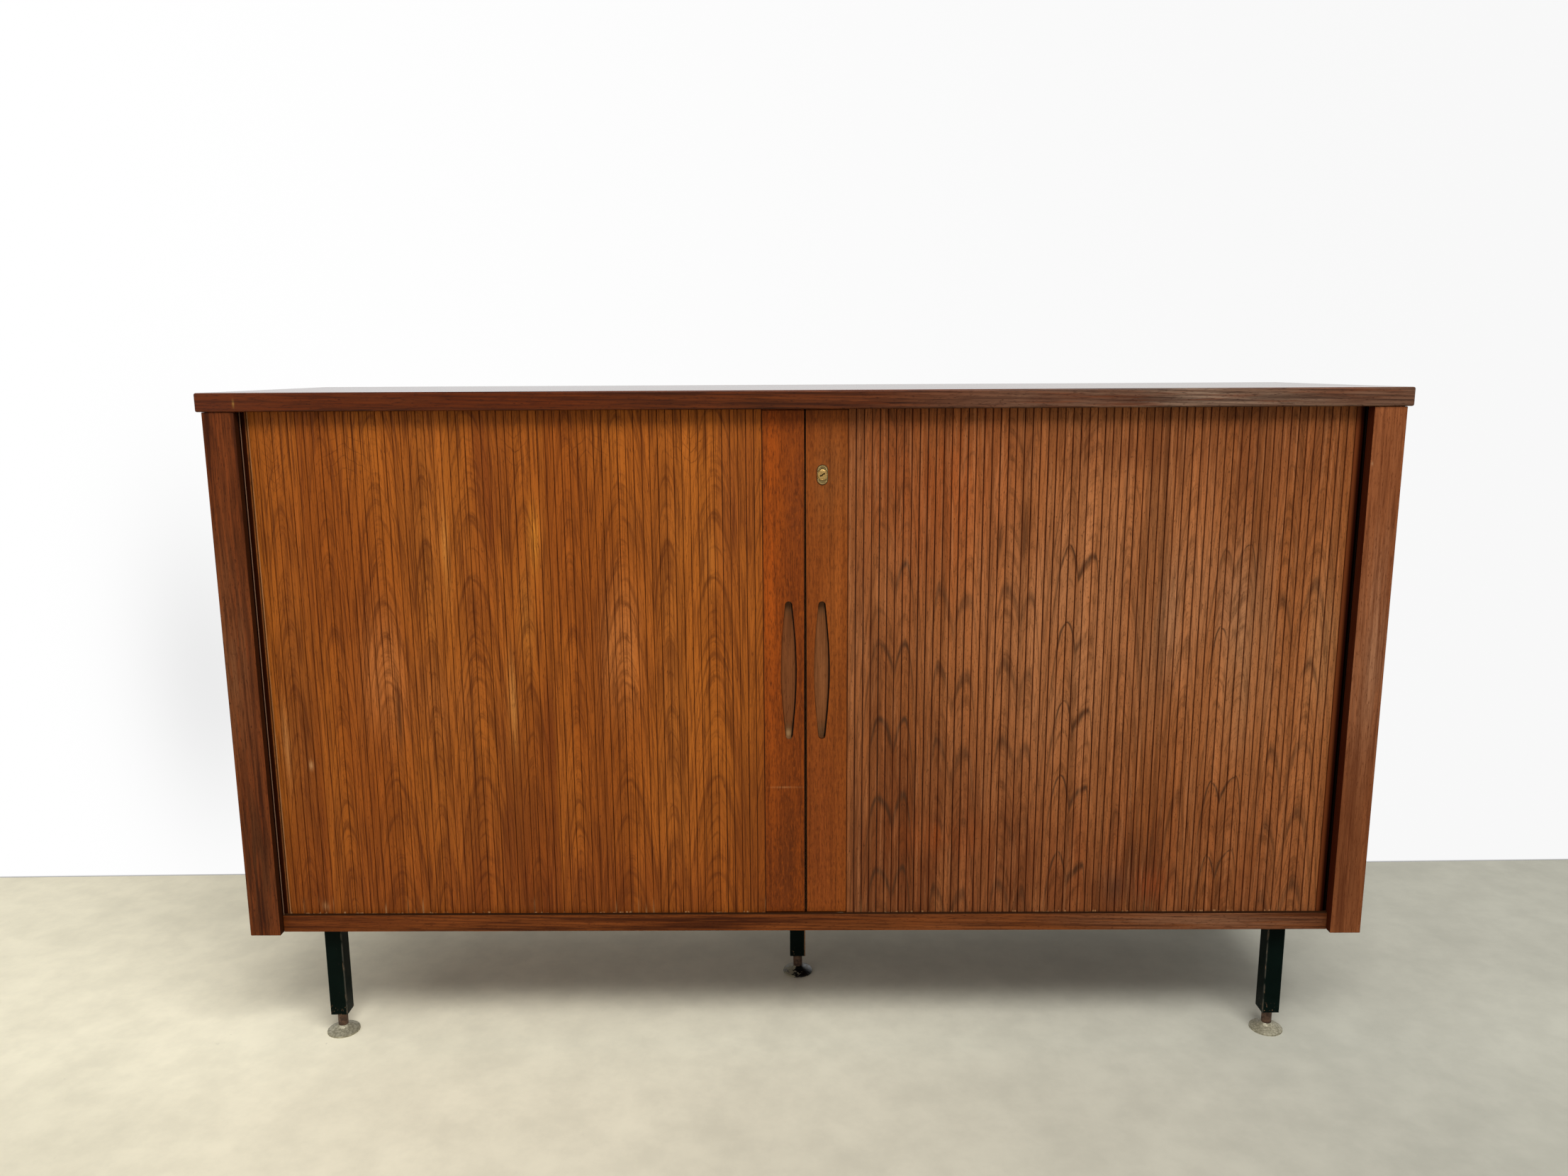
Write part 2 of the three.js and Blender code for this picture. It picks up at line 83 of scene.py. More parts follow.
# Finishes of the solids: the radius of their edges, the steps round them, and how their names start
FINISHES = (
    ("top", 0.0025, 3, "top_board"),
    ("rail", 0.0012, 2, "bottom_board"),
    ("post_{}", 0.0008, 2, "post_", "side_panel_"),
    ("stile_{}", 0.0007, 2, "lead_stile_"),
    ("shelf", 0.0004, 2, "shelf_left", "shelf_right"),
    ("inside", 0.0004, 2, "side_liner_", "back_liner_", "door_stop_", "partition", "back_panel"),
    ("barrel", 0.0009, 3, "lock_barrel"),
    ("plug", 0.0003, 2, "lock_plug"),
    ("steel", 0.0003, 2, "lock_case", "lock_hook", "strike_plate"),
    ("steel", 0.0004, 2, "shelf_pin_"),
    ("steel", 0.0002, 2, "foot_insert_"),
    ("leg_{}", 0.0012, 2, "leg_"),
    ("rust", 0.0004, 2, "foot_spindle_"),
    ("zinc", 0.0004, 2, "foot_glide_front_", "foot_glide_rear_"),
    ("zinc_painted", 0.0004, 2, "foot_glide_centre"),
)
WELD_REACH = 0.00001
FLAT_ANGLE = math.radians(0.5)
SHARP_ANGLE = math.radians(40)
SMOOTH_ANGLE = math.radians(35)

# Slats: their pitch, the gap between them, their rounded edges and how much they crown
SLAT_SHAPES = {
    "left": {"pitch": 0.010748, "gap": 0.0004, "edge": 0.0008, "crown": 0.0001},
    "right": {"pitch": 0.01072, "gap": 0.0006, "edge": 0.0011, "crown": 0.0002},
}
# How far a slat may stand out of line
SLAT_WANDER = 0.00012
SLAT_SEED = 4
EDGE_STEPS = 3
CANVAS_STEP = 0.004

# Ring and wards of the lock: each ward's middle along and across the keyhole, its length and width
RING_GAP = 0.00015
RING_THICKNESS = 0.00035
RING_STEPS = 8
ROUND_STEPS = 40
WARDS = ((-0.0009, 0.00062, 0.0014, 0.0007), (0.0014, -0.00062, 0.0013, 0.0007))
WARD_DEPTHS = (0.0001, 0.002)
BOX_FACES = ((0, 1, 2, 3), (7, 6, 5, 4), (0, 4, 5, 1), (1, 5, 6, 2), (2, 6, 7, 3), (3, 7, 4, 0))

# Screws and nails: radius, height, and whether they have a slot
LEG_SCREW = (0.0043, 0.0022, True)
SMALL_SCREW = (0.0028, 0.0014, True)
NAIL = (0.0022, 0.0007, False)
HEAD_PROFILE_SHARES = ((1.0, 0.0), (0.94, 0.45), (0.7, 0.85), (0.35, 1.0))
HEAD_TOP_SHARE = 1.05
HEAD_SLOT_SHARE = 0.22
HEAD_STEPS = 12
SCREW_TURN = 1.1
STRIKE_SCREW_INSET = 0.005
CASE_SCREW_INSET = 0.006
CASE_SCREW_ASIDE = 0.011
NAIL_INSET = 0.012
NAIL_COUNT = 10

# Camera, fitted to the photograph
CAMERA_PLACE = (-0.0172, -1.7884, 0.9757)
CAMERA_PITCH = 0.1859
CAMERA_YAW = -0.0056
CAMERA_ROLL = -0.0053
FOCAL_PIXELS = 1664.2
PHOTO_WIDTH = 2212
SENSOR_WIDTH = 36

# Stage and lamps: the wall stands a little askew behind the cabinet
STAGE_REACH = 6
WALL_Y = 0.4
WALL_SLOPE = 0.02
WALL_HEIGHT = 4.8
# The wall's white glow is painted light: it dims to the right, darkens along its foot, and holds a painted
# shadow of the cabinet on the left
WALL_FOOT = (0.0035, 0.35)
WALL_SIDE = (1.4, 0.94)
WALL_SHADE = ((-1.12, 0.4), (0.14, 0.3))
WALL_SHADE_SHARE = 0.16
# The floor's tones are painted light: lighter on the left, darker towards the front
FLOOR_TONES = ((0.88, 0.82, 0.63), (0.5, 0.49, 0.41))
FLOOR_TONES_REACH = 0.9
FLOOR_FRONT = (-0.55, -0.1, 0.85)
FLOOR_SPECK_SHARE = 0.35
WORLD_STRENGTH = 0.5
LAMP_TARGET = Vector((0.0, -0.1, 0.5))
LAMPS = {
    "key": ((0.6, -2.2, 3.2), (2.6, 1.2), 112),
    "fill": ((-2.8, -2, 1.6), (1.8, 1.8), 18),
}

# Noise in an object's own space: how often it changes per metre, detail, roughness, then maybe its span
SPOTS = {
    "edge_breakup": (160, 4, 0.7, 0.35, 0.65, 0.2, 2.2),
    "dust": (90, 4, 0.7, 0.56, 0.66),
    "leg_flake": (260, 4, 0.7, 0.62, 0.66),
    "leg_speck": (420, 3, 0.5, 0.7, 0.76),
    "leg_cloud": (30, 3, 0.5, 0.3, 0.7),
    "leg_thin": (90, 3, 0.5, 0.3, 0.5),
    "leg_grit": (700, 2, 0.5),
    "zinc_chips": (190, 4, 0.6),
    "zinc_grit": (900, 2, 0.5),
    "barrel_blotch": (500, 4, 0.6, 0.4, 0.7),
    "plug_blotch": (900, 4, 0.6),
    "floor_cloud": (2.6, 7, 0.62, 0.3, 0.7, 0.93, 1.04),
    "floor_fine": (14, 8, 0.66, 0.3, 0.7, 0.94, 1.05),
    "floor_speck": (46, 4, 0.7, 0.7, 0.78),
    "floor_grit": (30, 6, 0.5),
}
# Noise drawn out along the grain: changes per metre across and along, offset, detail, then maybe its span
GRAINS = {
    "drift": (6, 1.3, 3, 2),
    "ripple": (22, 6, 5, 3),
    "cloud": (8, 1.8, 9, 2),
    "ring_fade": (5, 3, 11, 1.0, 0.35, 0.62, 0.2, 1.0),
    "line_wobble": (60, 25, 13, 1.0),
    "line_fade": (9, 5, 15, 2),
    "feather_wobble": (70, 40, 63, 2),
    "patch_fade": (40, 5, 23, 3, 0.3, 0.6, 0.4, 1.0),
    "fibre": (700, 9, 27, 2),
    "side_wear": (70, 20, 33, 2, 0.4, 0.6),
    "scuff": (40, 8, 31, 3, 0.53, 0.64),
    "fringe": (260, 60, 37, 2, 0.52, 0.6),
    "corner_wear": (60, 14, 61, 2, 0.3, 0.6, 0.55, 1.0),
    "grip_fibre": (520, 14, 71, 3, 0.42, 0.62),
    "ledge_coarse": (110, 2, 73, 3, 0.46, 0.68),
    "ledge_fine": (420, 9, 79, 3, 0.46, 0.68),
}
# Stains, painted shade and painted highlights: a tone of the wood or a screen colour, its share, and where
# each value lets it start and show fully
STAINS_AND_PAINTED_LIGHT = {
    "left_rub": ("light", 0.1, (0.72, 0.84)),
    "right_rub": ("light", 0.2, (0.72, 0.84)),
    # Painted shade: dark along the slats' rounded edges, where the slats meet
    "left_slat_edge": ((74, 26, 10), 0.55, (0.3, 0.95)),
    "right_slat_edge": ((74, 26, 10), 0.75, (0.3, 0.95)),
    "left_scuff": ((192, 140, 90), 0.6, (0.032, 0.006), (0.76, 0.9), (-0.0016, -0.001)),
    "right_scuff": ((192, 140, 90), 0.25, (0.032, 0.006), (0.76, 0.9), (-0.0016, -0.001)),
    "fringe": ((176, 128, 84), 0.7, (0.0028, 0.0012)),
    # Painted shade on the slats that turn round each corner behind its post; left_corner_wear is wear
    "left_corner": ((42, 14, 3), 1.0, (0.0008, 0.0014)),
    "left_corner_wear": ((176, 122, 78), 0.9, (-0.0014, -0.0006), (0.0012, 0.0004)),
    "right_corner": ((92, 44, 18), 1.0, (-0.006, -0.0054)),
    "right_recess": ((34, 8, 2), 1.0, (-0.0035, 0.002)),
    "post_edge": ((150, 100, 66), 0.45, (0.1, 0.6)),
    # Painted shade on the posts' faces towards the doors; on the left one a painted shadow line and a painted
    # highlight near its back edge
    "left_post_side": ((45, 22, 10), 0.9),
    "right_post_side": ((52, 14, 4), 0.9),
    "post_slit": ((12, 3, 2), 1.0, (-0.0072, -0.0064)),
    "post_rim": ((150, 116, 92), 0.9, (-0.0036, -0.0028)),
    # Painted shade on the grip's wall
    "grip_wall": ((30, 12, 5), 0.7),
    "left_grip": ((130, 76, 40), 0.8),
    "right_grip": ((140, 86, 48), 0.8),
    "grip_fibre": ((70, 38, 18), 0.4),
    "grip_end": ((84, 66, 42), 0.45, (0.068, 0.092)),
    "grip_chip": ((178, 140, 96), 0.8),
    # Painted shade along the right and left edges of the grip's floor
    "grip_right_edge": ((14, 7, 4), 1.0, (-0.0024, -0.0014)),
    "grip_left_edge": ((14, 7, 4), 0.6, (-0.0012, -0.0004)),
    # Painted shade in the gap where the stiles meet, and along their outer edges beside the slats
    "meeting_grime": ((10, 5, 3), 0.95, (0.0002, -0.0002), (0.003, 0.0015)),
    "left_outer_grime": ((32, 11, 4), 0.9, (0.0012, 0.0007)),
    "right_outer_grime": ((32, 11, 4), 0.5, (0.0012, 0.0007)),
    "top_edge": ("light", 0.35, (0.15, 0.6)),
    "rail_edge": ((156, 96, 58), 0.5, (0.15, 0.6)),
    "ledge_top": ((158, 118, 76), 0.7),
    "ledge_lines": ((118, 84, 52), 0.65),
    # Partly painted shade in front of the groove, partly dirt
    "ledge": ((30, 12, 5), 0.95),
    "dust": ((150, 138, 110), 0.8),
}
# Oval patches of another tone: middle across and along, half width and height, colour, share
PATCHES = {
    "slats_left": (
        (-0.51, 0.7, 0.024, 0.26, (150, 88, 34), 0.5), (-0.18, 0.56, 0.026, 0.3, (148, 86, 34), 0.5),
        (-0.45, 0.34, 0.06, 0.17, (104, 52, 20), 0.55), (-0.705, 0.5, 0.02, 0.16, (104, 62, 30), 0.5),
        (-0.35, 0.26, 0.38, 0.06, (122, 56, 20), 0.4), (-0.43, 0.87, 0.012, 0.07, (92, 38, 16), 0.6),
        (-0.42, 0.81, 0.03, 0.15, (96, 38, 12), 0.62), (-0.42, 0.39, 0.034, 0.08, (96, 44, 14), 0.4),
        (-0.089, 0.8, 0.03, 0.16, (104, 48, 24), 0.6), (-0.582, 0.56, 0.035, 0.08, (184, 110, 54), 0.85),
        (-0.253, 0.6, 0.03, 0.08, (186, 112, 54), 0.85), (-0.5, 0.52, 0.07, 0.06, (160, 94, 48), 0.25),
        (-0.45, 0.345, 0.3, 0.04, (98, 46, 16), 0.3), (-0.1, 0.37, 0.06, 0.07, (94, 44, 16), 0.45),
        (-0.455, 0.66, 0.018, 0.08, (108, 54, 22), 0.4), (-0.355, 0.48, 0.008, 0.07, (95, 38, 15), 0.5),
        (-0.565, 0.5, 0.0035, 0.07, (66, 38, 18), 0.9), (-0.462, 0.45, 0.003, 0.04, (66, 34, 15), 0.8),
        (-0.23, 0.76, 0.008, 0.04, (92, 50, 22), 0.6), (-0.487, 0.72, 0.005, 0.06, (206, 140, 66), 0.6),
        (-0.365, 0.75, 0.008, 0.04, (212, 134, 46), 0.75), (-0.405, 0.52, 0.005, 0.06, (206, 140, 70), 0.65),
        (-0.382, 0.63, 0.012, 0.07, (180, 112, 44), 0.5), (-0.128, 0.72, 0.01, 0.05, (172, 106, 44), 0.3),
        (-0.727, 0.46, 0.005, 0.05, (196, 134, 76), 0.6), (-0.35, 0.2, 0.5, 0.08, (98, 44, 15), 0.6),
        (-0.69, 0.214, 0.004, 0.006, (196, 146, 96), 0.8), (-0.694, 0.426, 0.003, 0.006, (196, 146, 96), 0.8),
    ),
    "slats_right": (
        (0.18, 0.82, 0.11, 0.13, (150, 70, 26), 0.6), (0.616, 0.85, 0.15, 0.09, (112, 62, 34), 0.5),
        (0.371, 0.62, 0.11, 0.2, (168, 112, 72), 0.7), (0.616, 0.57, 0.036, 0.12, (166, 120, 82), 0.6),
        (0.716, 0.6, 0.026, 0.11, (166, 116, 74), 0.55), (0.35, 0.28, 0.45, 0.12, (98, 45, 20), 0.62),
        (0.17, 0.36, 0.13, 0.15, (84, 38, 16), 0.6), (0.09, 0.55, 0.08, 0.5, (108, 58, 28), 0.5),
        (0.074, 0.55, 0.012, 0.6, (94, 56, 32), 0.55), (0.4, 0.17, 0.4, 0.05, (92, 44, 22), 0.6),
        (0.483, 0.72, 0.018, 0.2, (84, 52, 28), 0.55), (0.268, 0.745, 0.005, 0.03, (66, 38, 20), 0.9),
        (0.301, 0.76, 0.005, 0.035, (66, 38, 20), 0.8), (0.485, 0.26, 0.02, 0.05, (70, 38, 20), 0.5),
        (0.38, 0.885, 0.38, 0.045, (92, 48, 22), 0.4), (0.4, 0.865, 0.09, 0.03, (84, 40, 18), 0.45),
        (0.4, 0.235, 0.45, 0.04, (80, 38, 18), 0.25), (0.11, 0.26, 0.06, 0.06, (80, 36, 14), 0.25),
        (0.67, 0.24, 0.06, 0.04, (88, 44, 24), 0.3), (0.451, 0.243, 0.028, 0.03, (60, 42, 32), 0.6),
        (0.495, 0.248, 0.026, 0.022, (150, 68, 30), 0.5), (0.187, 0.32, 0.05, 0.024, (156, 74, 26), 0.5),
        # The pale grey ovals at 0.511 and 0.591 across are a painted reflection, a soft sheen on the right
        # door
        (0.468, 0.295, 0.007, 0.03, (60, 34, 20), 0.7), (0.511, 0.645, 0.035, 0.09, (178, 134, 98), 0.35),
        (0.591, 0.67, 0.04, 0.08, (172, 128, 94), 0.25), (0.352, 0.516, 0.035, 0.05, (162, 108, 68), 0.25),
    ),
    "stile_left": (
        (-0.045, 0.72, 0.014, 0.26, (172, 80, 18), 0.7), (-0.01, 0.78, 0.012, 0.14, (104, 50, 22), 0.55),
        (-0.02, 0.33, 0.012, 0.1, (74, 36, 14), 0.75), (-0.04, 0.24, 0.03, 0.12, (92, 43, 16), 0.5),
        (-0.0235, 0.391, 0.018, 0.0012, (196, 136, 84), 0.7), (-0.025, 0.25, 0.04, 0.1, (84, 40, 16), 0.25),
    ),
    "stile_right": (
        (0.04, 0.82, 0.03, 0.07, (124, 74, 36), 0.6), (0.05, 0.7, 0.014, 0.09, (156, 82, 30), 0.6),
        (0.03, 0.3, 0.03, 0.14, (132, 64, 26), 0.5), (0.041, 0.64, 0.03, 0.18, (162, 92, 38), 0.3),
    ),
    "post_left": (
        (-0.77, 0.86, 0.03, 0.06, (122, 62, 28), 0.5), (-0.78, 0.58, 0.022, 0.14, (116, 78, 50), 0.6),
        (-0.77, 0.28, 0.03, 0.14, (64, 40, 22), 0.9),
    ),
    "post_right": (
        (0.77, 0.88, 0.03, 0.06, (124, 74, 44), 0.5), (0.775, 0.58, 0.026, 0.16, (154, 110, 80), 0.7),
        (0.77, 0.27, 0.03, 0.14, (92, 52, 28), 0.7), (0.7525, 0.845, 0.0012, 0.0025, (196, 156, 116), 0.9),
    ),
    # Along the boards the first of each pair is the height
    "top": (
        (0.935, 0.55, 0.03, 0.36, (120, 96, 78), 0.9), (0.931, -0.748, 0.0042, 0.0013, (206, 160, 80), 0.9),
        (0.927, -0.78, 0.01, 0.05, (70, 32, 20), 0.6), (0.932, -0.5, 0.016, 0.3, (88, 30, 0), 0.7),
        (0.932, 0.0, 0.012, 0.24, (84, 38, 4), 0.6), (0.932, 0.515, 0.014, 0.08, (150, 124, 104), 0.5),
    ),
    "rail": (
        (0.19, -0.5, 0.006, 0.25, (116, 60, 26), 0.4), (0.19, 0.45, 0.016, 0.4, (106, 66, 42), 0.6),
        (0.196, 0.05, 0.004, 0.2, (122, 62, 26), 0.5), (0.19, -0.414, 0.016, 0.06, (60, 26, 8), 0.35),
        (0.19, -0.15, 0.016, 0.1, (124, 56, 16), 0.3), (0.19, 0.1, 0.016, 0.05, (58, 30, 12), 0.35),
        (0.19, 0.58, 0.016, 0.14, (150, 108, 80), 0.45),
    ),
}

# Where the rings arch: the middle across the wood, how much lower its top is, how steep left and right
ARCHES = {
    "left": (
        (0.102, 0.0, 10.5, 10.5), (0.2265, 0.0, 10.5, 10.5), (0.164, 0.1, 16, 16),
        (0.3, 0.16, 14, 16), (0.03, 0.14, 16, 14),
    ),
    "right": (
        (0.105, 0.018, 16, 10), (0.141, 0.018, 14, 22), (0.186, 0.05, 30, 12),
        (0.228, 0.06, 10, 22), (0.275, 0.05, 24, 10), (0.312, 0.065, 16, 22),
        (0.362, 0.0, 16, 16), (0.398, 0.015, 7.7, 40), (0.442, 0.16, 26, 15),
        (0.53, 0.13, 15, 26), (0.575, 0.0, 18, 14), (0.6085, -0.005, 9, 26),
        (0.655, 0.07, 22, 14), (0.7, 0.05, 12, 14),
    ),
}
ARCH_TOP = 0.755
ARCH_TOP_REACH = 0.02

# Sets of nested fine V shapes: middle across and along, half width and height, slope, spacing
FEATHERS = (
    (-0.386, 0.868, 0.026, 0.032, 1.1, 0.018), (-0.614, 0.86, 0.034, 0.036, -0.7, 0.016),
    (-0.712, 0.85, 0.02, 0.05, 1.3, 0.014), (-0.29, 0.872, 0.03, 0.03, -0.9, 0.017),
    (-0.15, 0.868, 0.03, 0.03, 1.0, 0.017),
)
FEATHER_WOBBLE = 0.016
FEATHER_SHARE = 0.08

# Streaks: tone, share, changes per metre across and along, offset, and the span of the noise
STREAKS = {
    "slats_left": (
        ("dark", 0.22, 90, 1.5, 0.0, 0.46, 0.7),
        ((182, 100, 38), 0.2, 240, 5, 41, 0.5, 0.7),
        ("dark", 0.65, 520, 12, 47, 0.48, 0.66),
        ("dark", 0.7, 1100, 110, 19, 0.58, 0.72),
    ),
    "slats_right": (
        ("dark", 0.38, 100, 2, 0.0, 0.46, 0.7),
        ((172, 112, 70), 0.35, 260, 9, 41, 0.5, 0.72),
        ("dark", 0.5, 560, 40, 47, 0.5, 0.7),
        ("dark", 0.75, 900, 220, 19, 0.58, 0.72),
    ),
    "plain": (
        ("dark", 0.5, 220, 5, 0.0, 0.48, 0.7),
        ("light", 0.4, 300, 12, 41, 0.5, 0.7),
        ("dark", 0.45, 600, 40, 47, 0.5, 0.7),
        ("dark", 0.7, 1000, 150, 19, 0.58, 0.72),
    ),
    "stile": (
        ("dark", 0.5, 480, 90, 53, 0.5, 0.68),
        ("light", 0.5, 420, 110, 59, 0.54, 0.7),
    ),
    "over_grip": (("dark", 0.45, 500, 90, 57, 0.55, 0.7),),
}
COARSE_STREAK = (90, 2, 35, 0.5, 0.66)

# Each wood's dark, middle and light tone, as a screen shows them, and its seed
WOODS = {
    "slats_left": ((76, 34, 10), (138, 71, 20), (162, 90, 28), 1.7),
    "slats_right": ((60, 31, 14), (136, 78, 38), (162, 99, 55), 5.2),
    "stile_left": ((70, 30, 8), (118, 54, 14), (138, 66, 16), 9.1),
    "stile_right": ((74, 34, 10), (120, 58, 18), (138, 72, 24), 11.4),
    "post_left": ((42, 17, 7), (98, 48, 19), (122, 59, 24), 14),
    "post_right": ((78, 36, 15), (114, 62, 31), (140, 82, 47), 15),
    "top": ((36, 14, 6), (68, 31, 10), (100, 46, 15), 17),
    "rail": ((40, 14, 5), (92, 44, 15), (118, 62, 24), 18.3),
    "inside": ((118, 84, 52), (158, 118, 76), (174, 134, 92), 21),
    "shelf": ((118, 84, 52), (158, 118, 76), (174, 134, 92), 23),
}
# Slats: the numbers that Wood's functions take, how unevenly the slats are shaded, and their sheen
SLAT_WOODS = {
    "left": {
        "figure": (0.03, 0.03),
        "rings": (0.143, 0.16),
        "contours": (0.143, 0.0865, 0.0042, 0.32, 0.44),
        "contour_tint": ("dark", 0.5),
        "growth": (60, 0.6, 0.46, 0.68),
        "uneven": (0.95, 1.05),
        "sheen": (0.4, 0.07),
    },
    "right": {
        "figure": (0.04, 0.015),
        "rings": (0.11, 0.08),
        "contours": (0.11, 0.0485, 0.002, 0.34, 0.46),
        "contour_tint": ((58, 38, 25), 0.88),
        "growth": (60, 0.45, 0.46, 0.68),
        "uneven": (0.92, 1.08),
        "sheen": (0.42, 0.05),
    },
}
# Plain woods: the axis of their grain, and the shares of their rings, growth lines and coarse streaks
PLAIN_WOODS = {
    "stile_left": ("Z", 0.1, 0.35, 0.25),
    "stile_right": ("Z", 0.1, 0.35, 0.25),
    "post_left": ("Z", 0.5, 0.55, 0.8),
    "post_right": ("Z", 0.2, 0.55, 0.35),
    "top": ("X", 0.5, 0.55, 0.7),
    "rail": ("X", 0.5, 0.55, 0.7),
    "inside": ("Z", 0.2, 0.55, 0.5),
    "shelf": ("X", 0.2, 0.55, 0.5),
}
PLAIN_FIGURE = (0.6, 0.06, 40)
PLAIN_RING_SPACING = 0.2
PLAIN_GROWTH = (9, 0.45, 0.75)

# How woods are drawn: cloud between tones, grey of a ring from start to end, lines, pores, sheen and wear
DEPTH_STRETCH = 2
CLOUD_SPAN = (0.32, 0.68)
RING_GREYS = ((0.0, 0.1), (0.4, 0.1), (0.9, 1.0), (1.0, 0.1))
LINE_WOBBLE = 0.012
LINE_STEEPNESS = (4, 14, 1.0, 0.3)
LINE_ABOVE_ARCHES_SHARE = 0.15
GROWTH_ACROSS_SHARE = 0.3
GROWTH_ALONG = 2.5
GROWTH_NOISE = (1.0, 4, 0.7)
PORE_DEPTH_SHARE = 0.8
SHEEN_SPAN = (0.2, 0.8)
SHEEN_CHANGE = (-0.04, 0.06)
WOOD_BUMP = (0.0001, 0.4)
TOP_BUMP = (0.00005, 0.25)
BEVEL_SAMPLES = 6
POST_EDGE_REACH = 0.0012
BOARD_EDGE_REACH = 0.001

# Slats: leaves of veneer and fine V shapes on the left, and the shadows between them and at the right corner
LEAF_WIDTH = 0.33
LEAF_START = -0.678
LEAF_CHANGE = 0.06
SLAT_SHIFT = 0.004
FEATHER_TINT = ("dark", 0.65)
GAP_SHADOW = (-0.003, -0.0005, 0.3)
RIGHT_RECESS_END = (0.0038, 0.005, 1.0, 0.1)

# Posts, stiles, grips and boards: where their faces, floors and ledges begin and end, and their sheen
POST_SIDE = (0.003, 0.006)
POST_SIDE_FACING = (0.6, 0.9)
POST_SHEEN = (0.4, 0.06)
GRIP_REACH = (0.012, 0.013)
GRIP_FLOOR_DEPTH = (0.006, 0.0085)
GRIP_WALL_DEPTH = (0.0012, 0.003)
GRIP_CHIP = ((-0.001, -0.0925), (0.004, 0.006))
MEETING_SHADE_HEIGHT = (0.5, 0.8)
MEETING_SHADE_WIDTH = (0.0011, 0.0004)
STILE_SHEEN = (0.42, 0.07)
TOP_FACING = (0.3, 0.9)
TOP_ROUGHNESS = (0.36, 0.14)
TOP_LEVEL = 0.12
RAIL_TOP = (-0.003, -0.001)
RAIL_FACING = (0.5, 0.8)
LEDGE_DEPTH = (0.008, 0.012)
DUST_DEPTH = (0.016, 0.019)
DUST_LEFT = (-0.735, -0.7)
DUST_MIDDLE = ((0.035, 0.075), (0.155, 0.115))
INSIDE_SHEEN = (0.55, 0.12)
SHELF_SHEEN = (0.5, 0.12)

# Worn metals: clean and stained colour, how often the stains change per metre, roughness, how metallic
METALS = {
    "rust": ((100, 74, 56), (60, 42, 32), 180, 0.5, 0.4),
    "zinc": ((176, 170, 146), (128, 122, 100), 300, 0.5, 0.4),
    "brass": ((228, 192, 124), (150, 112, 58), 260, 0.3, 1.0),
    "steel": ((190, 190, 190), (140, 138, 134), 90, 0.38, 1.0),
}
METAL_DETAILS = (5, 3)
METAL_BLOTCH_ROUGHNESS = 0.6
METAL_FINE_SCALE = 9
METAL_FINE_SHARE = 0.35
METAL_STAIN_SPAN = (0.5, 0.8)
METAL_SHEEN_SPAN = (0.3, 0.7)
METAL_SHEEN_CHANGE = (-0.08, 0.15)
METAL_BUMP = (0.00006, 0.6)

# Legs: paint, the thin pale line along the rubbed edge, partly wear and partly a painted highlight, and rust
LEG_COLOURS = {"paint": (4, 13, 10), "thin": (96, 92, 82), "rust": (136, 104, 78)}
LEG_FOOT = 0.022
LEG_EDGE_SIDE = (-0.0022, -0.0012)
LEG_EDGE_FRONT = (0.0008, 0.0018)
LEG_RUB_SCALE = (500, 500, 60)
LEG_RUB_NOISE = (1.0, 3, 0.6)
LEG_RUB_SPAN = (0.6, 0.66)
LEG_WORN = {"centre": 0.2}
LEG_LITTLE_WORN = 0.02
LEG_SPECK_SHARE = 0.2
LEG_THIN_SHARE = 0.35
LEG_CLOUD_CHANGE = 1.3
LEG_ROUGHNESS = (0.28, 0.44)
LEG_GRIT_SHARE = 0.25
LEG_METALLIC_SHARE = 0.5
LEG_LEVEL = 0.03
LEG_BUMP = (0.00015, 0.6)

# The sprayed glide, the lock's brass with its greys by radius in centimetres, which paint highlights and
# shade, the keyhole painted black as shade, canvas and floor
GLIDE_COLOURS = ((118, 112, 90), (150, 144, 120), (8, 9, 8))
GLIDE_SPRAY = (-0.01, 0.004, -0.06, 0.1)
GLIDE_PAINT_SPAN = (0.49, 0.51)
GLIDE_ROUGHNESS = (0.6, 0.3)
GLIDE_BUMP = (0.0002, 0.8)
GLIDE_LEVEL = 0.3
BARREL_COLOURS = ((246, 214, 146), (160, 116, 58))
# Greys by radius: painted highlight and shade in crescents round the plug
BARREL_RING_SHADING = ((0.0, 0.1), (0.6, 0.1), (0.63, 1.0), (0.7, 0.95), (0.76, 0.42), (0.8, 0.4),
                (0.86, 0.95), (1.0, 0.8))
BARREL_RIM_SHADING = ((0.0, 0.55), (0.5, 0.5), (0.56, 1.0), (0.63, 1.0), (0.67, 0.4), (0.72, 0.12))
BARREL_UNIT = 0.01
BARREL_BUMP = (0.0003, 0.6)
BARREL_ROUGHNESS = 0.26
# The plug's black is painted shade down in the keyhole
PLUG_COLOURS = ((222, 184, 116), (160, 116, 58), (6, 5, 4))
PLUG_SPAN = (0.4, 0.7)
PLUG_SUNK = (0.0003, 0.0008)
PLUG_BUMP = (0.00008, 0.5)
PLUG_ROUGHNESS = 0.34
PLUG_LEVEL = 0.1
CANVAS_COLOUR = (122, 104, 78)
CANVAS_SHADE_SHARE = 0.7
CANVAS_THREADS = 7000
CANVAS_BUMP = (0.0001, 0.5)
CANVAS_ROUGHNESS = 0.9
FLOOR_SPECK = (120, 112, 96)
FLOOR_BUMP = (0.002, 0.25)
FLOOR_ROUGHNESS = 0.7
FLOOR_LEVEL = 0.15
PLAIN_LEVEL = 0.5
WHITE = (1.0, 1.0, 1.0)


